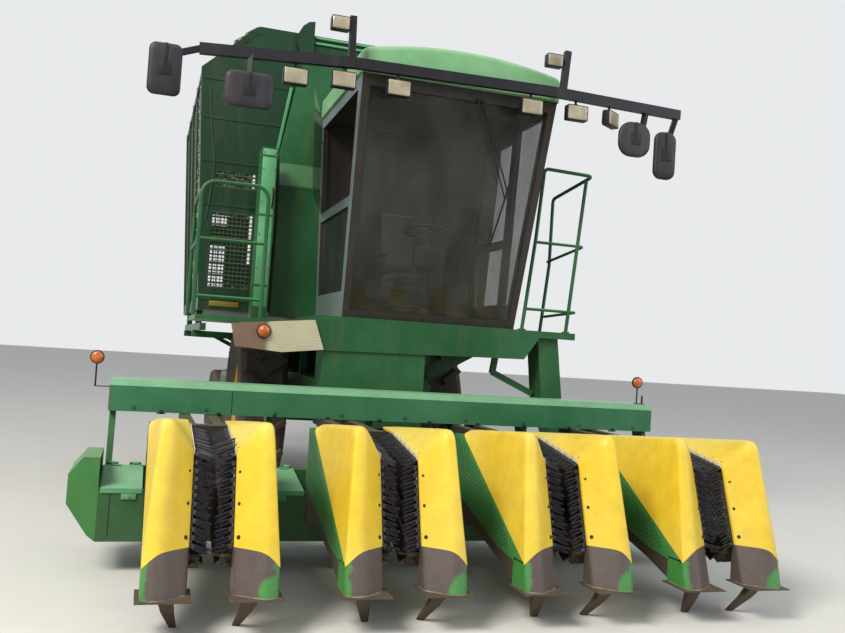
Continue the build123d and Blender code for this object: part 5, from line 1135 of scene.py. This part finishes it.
def mirrors():
    """Mirror shells with swollen backs, clamp plates, and glass towards the cab."""
    shells, plates, glasses = [], [], []
    for x, z, width, height, corner in MIRRORS:
        place = (x, MIRROR_Y, z)
        shell = crowned(shifted(rounded_box(width, 0.026, height, corner, 6), 0, 0.010, 0), 0.018)
        shells.append(shifted(round_edges(shell, 0.003), *place))
        glass = rounded_box(width - 0.02, 0.004, height - 0.02, corner - 0.008, 6)
        glasses.append(shifted(shifted(glass, 0, 0.0225, 0), *place))
        clamp = [block((-0.045, -0.0245, -0.05), (0.045, -0.020, 0.05))]
        clamp.append(block((-0.013, -0.025, 0.0), (0.013, -0.0215, height / 2 - 0.004), 0.002))
        for middle in (0.036, -0.036):
            low, high = (middle - 0.004, -0.025, -0.045), (middle + 0.004, -0.0215, 0.045)
            clamp.append(block(low, high, 0.001, 1))
        plates.append(shifted(together(*clamp), *place))
    settle(shells, "mirror_shells", mirror_shell, replaced=["mirrors"])
    settle(plates, "mirror_clamps", black_rubber)
    settle(glasses, "mirror_glasses", mirror_glass)


# Windscreen wiper
SCREEN_LOW = Vector((0, FRONT + 2.710, 1.735))
SCREEN_TOP = Vector((0, FRONT + 2.240, 3.640))
SCREEN_OUT = Vector((0, SCREEN_LOW.z - SCREEN_TOP.z, SCREEN_TOP.y - SCREEN_LOW.y)).normalized()


def on_screen(x, z, off=0.0):
    """A place on the windscreen's outer face."""
    share = (z - SCREEN_LOW.z) / (SCREEN_TOP.z - SCREEN_LOW.z)
    return Vector((x, SCREEN_LOW.y + share * (SCREEN_TOP.y - SCREEN_LOW.y), z)) + SCREEN_OUT * off


def wiper():
    """Two parallel arms and a blade."""
    bits = []
    for x in (0.52, 0.56):
        arm = ((x, 3.56, 0.012), (x, 3.54, 0.035), (x + 0.34, 2.84, 0.030))
        bits.append(tube([on_screen(*spot) for spot in arm], 0.006))
        bits.append(rod(on_screen(x, 3.56), on_screen(x, 3.56, 0.03), 0.016, 14, edge=0.003))
    link = block((-0.03, -0.006, -0.010), (0.03, 0.006, 0.010), 0.003)
    bits.append(shifted(link, *on_screen(0.88, 2.84, 0.03)))
    blade = ((0.93, 3.16), (0.88, 2.84), (0.80, 2.42))
    bits.append(tube([on_screen(*spot, off) for spot, off in zip(blade, (0.020, 0.024, 0.020))], 0.007))
    bits.append(tube([on_screen(*spot, 0.008) for spot in blade], 0.005))
    settle(bits, "windscreen_wiper", black_frame)


# Cab inside
SEAT_MIDDLE = 0.330
CLOTH_CELL = 0.008
CLOTH_FRAMES = 20
CUSHION_SWELL = 0.016
COLUMN_X = 0.378


def cushion(low, high, corner):
    """A stuffed cushion: a rounded block blown up as cloth."""
    obj = block(low, high, corner, 4)
    modify(obj, "REMESH", mode="VOXEL", voxel_size=CLOTH_CELL)
    scene = bpy.context.scene
    before = [vertex.co.copy() for vertex in obj.data.vertices]
    pick(obj)
    cloth = obj.modifiers.new("cloth", "CLOTH")
    cloth.settings.use_pressure = True
    cloth.settings.uniform_pressure_force = 4
    cloth.settings.effector_weights.gravity = 0
    cloth.point_cache.frame_start = 1
    cloth.point_cache.frame_end = CLOTH_FRAMES
    for count in range(CLOTH_FRAMES):
        scene.frame_set(count + 1)
    blown = obj.evaluated_get(bpy.context.evaluated_depsgraph_get())
    after = [vertex.co.copy() for vertex in blown.data.vertices]
    obj.modifiers.remove(cloth)
    scene.frame_set(1)
    for vertex, old, new in zip(obj.data.vertices, before, after):
        shift = new - old
        vertex.co = old + (shift.normalized() * CUSHION_SWELL if shift.length > CUSHION_SWELL else shift)
    return modify(obj, "SUBSURF", levels=1, render_levels=1)


def seat_and_controls():
    """The driver's seat with its two cushions, and the steering column and wheel."""
    middle = SEAT_MIDDLE
    seat = shifted(cushion((-0.200, -0.22, -0.045), (0.200, 0.22, 0.045), 0.035), middle, -0.500, 2.128)
    settle(seat, "seat_cushion", seat_cloth, replaced=["operator_seat"])
    back = cushion((-0.180, -0.040, 0.0), (0.180, 0.040, 0.600), 0.038)
    moved(back, Matrix.Translation((middle, -0.225, 2.215)) @ Matrix.Rotation(math.radians(-9), 4, "X"))
    settle(back, "seat_back", seat_cloth)
    bits = [
        block((middle - 0.16, -0.66, 1.745), (middle + 0.16, -0.34, 1.79), 0.01),
        block((middle - 0.17, -0.68, 2.02), (middle + 0.17, -0.32, 2.07), 0.012),
    ]
    for index in range(6):
        z = 1.80 + index * 0.036
        bits.append(block((middle - 0.15, -0.65, z), (middle + 0.15, -0.35, z + 0.030), 0.012))
    for side in SIDES:
        x, y, z = middle + side * 0.215, -0.28, 2.36
        bits.append(block((x - 0.03, y - 0.30, z - 0.02), (x + 0.03, y + 0.02, z + 0.02), 0.016, 3))
        bits.append(rod((x, y, z), (x, y, z - 0.20), 0.012, 10))
        x = middle + side * 0.19
        bits.append(tube([(x, -0.70, 2.130), (x, -0.29, 2.130)], 0.006))
    settle(bits, "seat_frame", cab_plastic)
    hub = Vector((COLUMN_X, FRONT + 3.02, 2.555))
    axis = Vector((0, 0.12, 0.80)).normalized()
    bpy.ops.mesh.primitive_torus_add(
        major_radius=0.19, minor_radius=0.013, major_segments=48, minor_segments=12)
    wheel = [bpy.context.object, rod((0, 0, -0.02), (0, 0, 0.02), 0.045, 24, edge=0.006)]
    for turn in (90, 210, 330):
        spoke = block((0.03, -0.013, -0.006), (0.185, 0.013, 0.004), 0.003)
        wheel.append(moved(spoke, Matrix.Rotation(math.radians(turn), 4, "Z")))
    controls = [
        moved(together(*wheel), facing(hub, axis)),
        rod((COLUMN_X, -1.0, 1.745), hub - axis * 0.02, 0.042, 16, tip=0.03, edge=0.004),
        rod((COLUMN_X, -1.0, 1.742), (COLUMN_X, -0.99, 1.86), 0.085, 20, tip=0.05, edge=0.01),
        block((0.24, -1.06, 2.22), (0.52, -0.98, 2.40), 0.02, 3),
        block((0.62, -0.86, 1.745), (0.84, -0.30, 2.12), 0.02, 3),
    ]
    for x in (0.66, 0.72, 0.78):
        controls.append(rod((x, -0.62, 2.10), (x, -0.66, 2.36), 0.007, 8))
        controls.append(ball((x, -0.662, 2.375), (0.018, 0.018, 0.026), 6))
    settle(controls, "cab_controls", cab_plastic)


def cab_lining():
    """The padded ceiling and its vents, and the mat on the floor."""
    bits = [
        block((-0.395, FRONT + 2.30, 3.582), (1.155, FRONT + 3.82, 3.598), 0.007),
        block((-0.30, FRONT + 2.36, 3.50), (1.06, FRONT + 2.62, 3.590), 0.02, 3),
    ]
    y = FRONT + 2.49
    for x in (-0.12, 0.20, 0.56, 0.88):
        bits.append(rod((x, y, 3.505), (x, y, 3.494), 0.042, 20, edge=0.004))
        bits.append(block((x - 0.034, y - 0.004, 3.490), (x + 0.034, y + 0.004, 3.496), 0.001, 1))
    settle(bits, "cab_ceiling", cab_plastic)
    mat = block((-0.31, FRONT + 2.80, 1.741), (1.06, FRONT + 3.80, 1.748), 0.003)
    settle(mat, "cab_mat", black_rubber)


DUCT_FACE = FRONT + 3.60


def duct_dress():
    """A pale strip of painted sunlight down the front duct's face, bands, grab handle and hose on the two
    ducts, and the deck's amber lamp.
    """
    y = DUCT_FACE
    # Mint strip down the duct's face: painted sunlight, where the rest of the face lies in shade.
    sunlit_strip = block((-1.024, y - 0.005, 1.80), (-0.900, y + 0.001, 3.235), 0.002)
    settle(sunlit_strip, "duct_sunlit_strip", mint_green)
    straps = []
    for z in (1.98, 2.62, 3.16):
        straps.append(block((-1.034, y - 0.008, z), (-0.886, y + 0.245, z + 0.022), 0.002, 1))
    straps.append(block((-0.832, FRONT + 3.930, 2.955), (-0.298, FRONT + 3.945, 2.985), 0.003))
    settle(straps, "duct_bands", machine_green)
    grip = [(-0.915, y - out, z) for out, z in ((0.004, 2.70), (0.055, 2.72), (0.055, 2.86), (0.004, 2.88))]
    hose = (
        (-0.862, y + 0.10, 1.76), (-0.860, y + 0.08, 2.3), (-0.855, y + 0.10, 2.9), (-0.850, y + 0.30, 3.25),
    )
    settle([tube(grip, 0.008), tube(hose, 0.014)], "duct_hose", black_rubber)
    heights = (1.85, 2.15, 2.45, 2.75, 3.05, 3.20)
    places = [((x, y - 0.005, z), (0, -1, 0)) for z in heights for x in (-1.012, -0.912)]
    bolts("duct_bolts", places, 0.006, 0.005, "carrier", frame_grey)
    spot = Vector((-1.034, -1.312, 1.573))
    front = spot + Vector((0, -0.014, 0))
    settle(rod(spot, front, 0.058, 24, edge=0.004), "deck_lamp_ring", black_rubber)
    settle(ball(front, (0.050, 0.034, 0.050)), "deck_lamp", amber_plastic)


# Basket
BASKET_SIDE = ((1.441, 1.885), (1.568, 4.092), (1.276, 4.366), (1.120, 4.520), (1.052, 4.556))
BASKET_ROOF = tuple((x, 4.556) for x in (0.5, 0.0, -0.5))
WALL_WIDE, WALL_LOW = 1.46, 1.76
WALL_LEAN = (0.13, 2.34)
GATE_SPAN_Z = (2.60, 4.09)
GATE_NEAR, GATE_FAR, GATE_TALL = 0.474, 3.526, 1.350
GATE_FOOT = (1.5084, 0, 2.634)
GATE_ARMS_FROM = 3.985
LINT_TRIES, LINT_AT_CORNER = 900, 260
MESH_PITCH = 0.045
MESH_WIRE = 0.0032


def side_wire(z):
    """How far out the side's wire stands at a height."""
    (low_x, low_z), (high_x, high_z) = BASKET_SIDE[:2]
    return low_x + (high_x - low_x) * (z - low_z) / (high_z - low_z)


def crossed_wires(corner, side_a, side_b, pitch, radius, thick_every=4):
    """Crossed wires over the face that two edges span from a corner."""
    corner, side_a, side_b = Vector(corner), Vector(side_a), Vector(side_b)
    count_a = max(1, round(side_a.length / pitch))
    count_b = max(1, round(side_b.length / pitch))
    lift = side_a.cross(side_b).normalized() * radius
    across = [Matrix.Translation(corner + side_a * (index / count_a) + lift) for index in range(count_a + 1)]
    up = [Matrix.Translation(corner + side_b * (index / count_b) - lift) for index in range(count_b + 1)]
    return [
        copies(rod(Vector(), side_b, radius, 5), across),
        copies(rod(Vector(), side_a, radius, 5), up),
        copies(rod(Vector(), side_a, radius * 1.7, 6), up[::thick_every]),
    ]


def basket_screens():
    """Woven wire over the basket's sides and roof, and in its wall openings."""
    wires = []
    for y in (BASKET_FRONT + 0.010, BASKET_BACK - 0.010):
        for side in SIDES:
            for low, high in ((1.980, 2.710), (2.960, 3.120)):
                corner = (side * 0.992, y, low)
                wires += crossed_wires(corner, (side * 0.400, 0, 0), (0, 0, high - low), 0.041, 0.005, 3)
    corner = (-0.71, BASKET_BACK - 0.010, 2.49)
    wires += crossed_wires(corner, (1.42, 0, 0), (0, 0, 1.42), MESH_PITCH, 0.0035)
    length = BASKET_BACK - BASKET_FRONT - 0.10
    start = BASKET_FRONT + 0.05
    spots = []
    round_way = (*BASKET_SIDE, *BASKET_ROOF, *((-x, z) for x, z in reversed(BASKET_SIDE)))
    for (x1, z1), (x2, z2) in zip(round_way, round_way[1:]):
        count = max(1, round(math.hypot(x2 - x1, z2 - z1) / MESH_PITCH))
        for index in range(count):
            x, z = x1 + (x2 - x1) * index / count, z1 + (z2 - z1) * index / count
            if not (x > 1.4 and GATE_SPAN_Z[0] < z < GATE_SPAN_Z[1]):
                spots.append(Matrix.Translation((x, start, z)))
    wires.append(copies(rod((0, 0, 0), (0, length, 0), MESH_WIRE, 5), spots))
    below_gate = [(side_wire(z), 0, z) for z in (BASKET_SIDE[0][1], GATE_SPAN_Z[0])]
    over = [(x, 0, z) for x, z in round_way[1:]]
    ring = together(*[tube(way, MESH_WIRE, smooth=False, sides=0) for way in (over, below_gate)])
    count = round(length / MESH_PITCH)
    rings = [Matrix.Translation((0, start + length * (index + 0.5) / count, 0)) for index in range(count)]
    wires.append(copies(ring, rings))
    settle(wires, "basket_screens", wire_steel, "basket", ["basket_mesh"])


def lint_tufts():
    """Old lint caught in the right side's wire and along its front corner."""
    bpy.ops.mesh.primitive_ico_sphere_add(subdivisions=2, radius=1)
    tuft = bpy.context.object
    for vertex in tuft.data.vertices:
        vertex.co *= random.uniform(0.65, 1.15)
    places = []
    for _ in range(LINT_TRIES):
        z = random.uniform(1.95, 4.02)
        x = random.uniform(-0.010, 0.012) - side_wire(z)
        y = BASKET_FRONT + 0.06 + abs(random.gauss(0, 0.55))
        if y > BASKET_BACK - 0.1:
            continue
        size = random.uniform(0.005, 0.020)
        turn = Matrix.Rotation(random.uniform(0, 3), 4, "X")
        shape = Matrix.Diagonal((0.5 * size, size, size * random.uniform(0.6, 1.8), 1))
        places.append(Matrix.Translation((x, y, z)) @ turn @ shape)
    for _ in range(LINT_AT_CORNER):
        x = random.uniform(-1.38, -1.0)
        z = random.choice((1.985, 2.705, 2.965, 3.115, 3.04)) + random.gauss(0, 0.02)
        size = random.uniform(0.002, 0.008)
        shape = Matrix.Diagonal((size, 0.4 * size, size, 1))
        places.append(Matrix.Translation((x, BASKET_FRONT + 0.004, z)) @ shape)
    settle(copies(tuft, places), "lint_tufts", cotton_lint, "basket")


def gate_screen():
    """The tipping gate's welded frame and its wire, leaning with the basket's side."""
    arms = from_node("basket_gate")
    open_edit(arms, "FACE", every_face)
    bpy.ops.mesh.select_all(action="SELECT")
    above = {"plane_co": (0, 0, GATE_ARMS_FROM), "plane_no": (0, 0, 1)}
    bpy.ops.mesh.bisect(**above, use_fill=True, clear_inner=True)
    close_edit()
    near, far, tall = GATE_NEAR, GATE_FAR, GATE_TALL
    place = Matrix.Translation(GATE_FOOT) @ Matrix.Rotation(math.atan2(*WALL_LEAN), 4, "Y")
    bars = [
        block((-0.045, near, 0), (0, far, 0.06), 0.003),
        block((-0.045, near, tall - 0.05), (0, far, tall), 0.003),
        block((-0.040, near + 0.02, 0.655), (-0.004, far - 0.02, 0.695), 0.003),
    ]
    for index in range(5):
        y = near + (far - near - 0.06) * index / 4
        bars.append(block((-0.046, y, 0.01), (-0.001, y + 0.06, tall - 0.01), 0.003))
    pieces = [moved(together(*bars), place), arms]
    settle(pieces, "gate_frame", basket_green, "basket_gate", ["basket_gate"])
    corner, along, up = (-0.022, near + 0.03, 0.03), (0, far - near - 0.06, 0), (0, 0, tall - 0.06)
    wires = moved(together(*crossed_wires(corner, along, up, MESH_PITCH, MESH_WIRE)), place)
    settle(wires, "gate_wires", wire_steel, "basket_gate")


def basket_dress():
    """Top rails, ladder hoops, stay, hanging wire and the bright plate on the front wall."""
    near = BASKET_FRONT - 0.004
    rails = [
        rod((-0.52, near - 0.012, z), (1.02, near - 0.012, z), 0.012, 12, edge=0.002) for z in (4.555, 4.500)
    ]
    stay = ((-0.850, 3.22), (-0.822, 3.22), (-0.700, 4.02), (-0.732, 4.02))
    rails.append(plate(stay, 1, (near - 0.016, near - 0.002), 0.002))
    settle(rails, "top_rails", mint_green, "basket")
    strands = []
    for x, z in ((-1.30, 4.33), (-1.20, 4.42)):
        out = near - 0.05
        hoop = (x, near, z - 0.02), (x, out, z + 0.05), (x + 0.11, out, z + 0.13), (x + 0.11, near, z + 0.07)
        strands.append(tube(hoop, 0.006, smooth=False))
    hanging = (
        (-1.50, 0.010, 3.92), (-1.46, 0.012, 3.5), (-1.40, 0.012, 3.2), (-1.42, 0.012, 2.9),
        (-1.45, 0.010, 2.62),
    )
    strands.append(tube([(x, near - out, z) for x, out, z in hanging], 0.004))
    settle(strands, "hanging_wire", wire_steel, "basket")
    label = ((-1.36, 1.80), (-1.08, 1.80), (-1.08, 1.86), (-1.36, 1.86))
    label = plate(label, 1, (near - 0.004, near + 0.002), 0.001)
    settle(label, "bare_plate", olive_plate, "basket")


def wall_seams():
    """Folded level seams across the basket's front and back walls."""
    seams = []
    for y, out in ((BASKET_FRONT, -1), (BASKET_BACK, 1)):
        near, far = sorted((y - out * 0.001, y + out * 0.008))
        for z in (1.86, 2.78, 3.20, 3.62, 4.00, 4.30):
            half = 1.30 if z > 4.1 else WALL_WIDE + (z - WALL_LOW) * WALL_LEAN[0] / WALL_LEAN[1] - 0.02
            spans = ((-half, -0.72), (0.72, half)) if out > 0 and 2.5 < z < 3.9 else ((-half, half),)
            for start, end in spans:
                seams.append(block((start, near, z - 0.012), (end, far, z + 0.012), 0.003, 1))
    settle(seams, "wall_seams", basket_green, "basket")


# Finishes of the nodes that stay
FINISHES = {
    machine_green: (
        "chassis_frame", "front_axle", "rear_axle", "cab_platform", "handrails", "air_ducts",
        "header_frame", "auger_trough", "trough_walls", "frame_members", "fuel_tank", "engine_covers",
        "knuckle_left", "knuckle_right", "lift_barrels", "basket_barrels",
    ),
    panel_green: ("side_panels", "end_shields"),
    mint_green: ("trough_lids",),
    basket_green: ("basket_frame", "basket_gate"),
    wire_steel: ("basket_mesh",),
    beam_green: ("header_beam",),
    roof_green: ("cab_roof",),
    hood_yellow: ("row_hoods",),
    nose_skin: ("row_tips",),
    cab_paint: ("cab_body", "cab_door"),
    black_frame: ("light_bar", "exhaust_pipe"),
    wheel_yellow: ("drive_rim_left", "drive_rim_right", "steer_rim_left", "steer_rim_right"),
    worn_steel: (
        "cross_auger", "roll_1_left", "roll_1_right", "roll_2_left", "roll_2_right",
        "roll_3_left", "roll_3_right", "roll_4_left", "roll_4_right",
    ),
    rusty_steel: ("row_skids",),
    # The row frames get the dark oily finish as painted shade, for the dark under the hoods.
    oily_iron_and_painted_shade: ("engine_block", "row_frames"),
    ram_chrome: ("lift_rods", "basket_rods"),
    tyre_rubber: ("drive_tyre_left", "drive_tyre_right", "steer_tyre_left", "steer_tyre_right"),
    brush_bristle: ("brush_combs",),
    cab_window: ("cab_glass", "door_glass"),
    lamp_lens: ("work_lamps",),
    mirror_shell: ("mirrors",),
    seat_cloth: ("operator_seat",),
    amber_plastic: ("header_lamps",),
    striped_sheet: ("deck_shields",),
}


def finish_nodes():
    for finish, names in FINISHES.items():
        for name in names:
            nodes[name].data.materials.clear()
            nodes[name].data.materials.append(paint(finish))


# Floor, world and lamps
def lay_floor():
    """A pale floor that runs out of sight."""
    bpy.ops.object.select_all(action="DESELECT")
    bpy.ops.mesh.primitive_plane_add(size=120, location=(0, 0, 0))
    floor = bpy.context.object
    floor.name = "studio_floor"
    material, tree, shader = start_material("studio_floor")
    grain = noise(tree, place_pattern(tree), 3.0, 3.0)
    tint = blend_colours(tree, grain, colour(214, 211, 205), colour(222, 220, 215))
    wire(tree, shader, Base_Color=tint, Roughness=0.9)
    floor.data.materials.append(material)


def light_world():
    """A pale surround that lights softly from all sides."""
    world = bpy.data.worlds.new("studio_world")
    bpy.context.scene.world = world
    world.use_nodes = True
    tree = world.node_tree
    tree.nodes.clear()
    seen = wire(tree, add(tree, "ShaderNodeBackground"), Color=colour(232, 234, 236), Strength=1.0)
    soft = wire(tree, add(tree, "ShaderNodeBackground"), Color=(0.9, 0.95, 1.0, 1), Strength=0.5)
    rays = add(tree, "ShaderNodeLightPath").outputs
    direct = larger(tree, rays["Is Camera Ray"], rays["Is Glossy Ray"])
    chosen = add(tree, "ShaderNodeMixShader")
    tree.links.new(larger(tree, direct, rays["Is Transmission Ray"]), chosen.inputs[0])
    tree.links.new(soft.outputs[0], chosen.inputs[1])
    tree.links.new(seen.outputs[0], chosen.inputs[2])
    wire(tree, add(tree, "ShaderNodeOutputWorld"), Surface=chosen.outputs[0])


def hang_lamp(name, spot, target, size, power, tint):
    """A square soft lamp turned to its target."""
    data = bpy.data.lights.new(name, "AREA")
    data.shape = "SQUARE"
    data.size = size
    data.energy = power
    data.color = tint
    lamp = linked(name, data)
    lamp.location = spot
    lamp.rotation_euler = (Vector(target) - Vector(spot)).to_track_quat("-Z", "Y").to_euler()


place_camera()
hood_shells()
hood_flanges()
nose_shells()
throat_shade_sheets()
panel_plates()
hood_bolts()
brush_tufts()
bristle_bundle()
slot_screen()
beam_dress()
trough_dress()
work_lamps()
header_lamps()
mirrors()
wiper()
seat_and_controls()
cab_lining()
duct_dress()
basket_screens()
lint_tufts()
gate_screen()
basket_dress()
wall_seams()
finish_nodes()
lay_floor()
light_world()
hang_lamp("key_lamp", (-9, -9, 11), (0, -1, 1.5), 5, 2100, (1.0, 0.97, 0.9))
hang_lamp("fill_lamp", (10, -8, 7), (0, -1, 1.5), 8, 500, (0.92, 0.96, 1.0))

bpy.context.scene.view_settings.view_transform = "Standard"
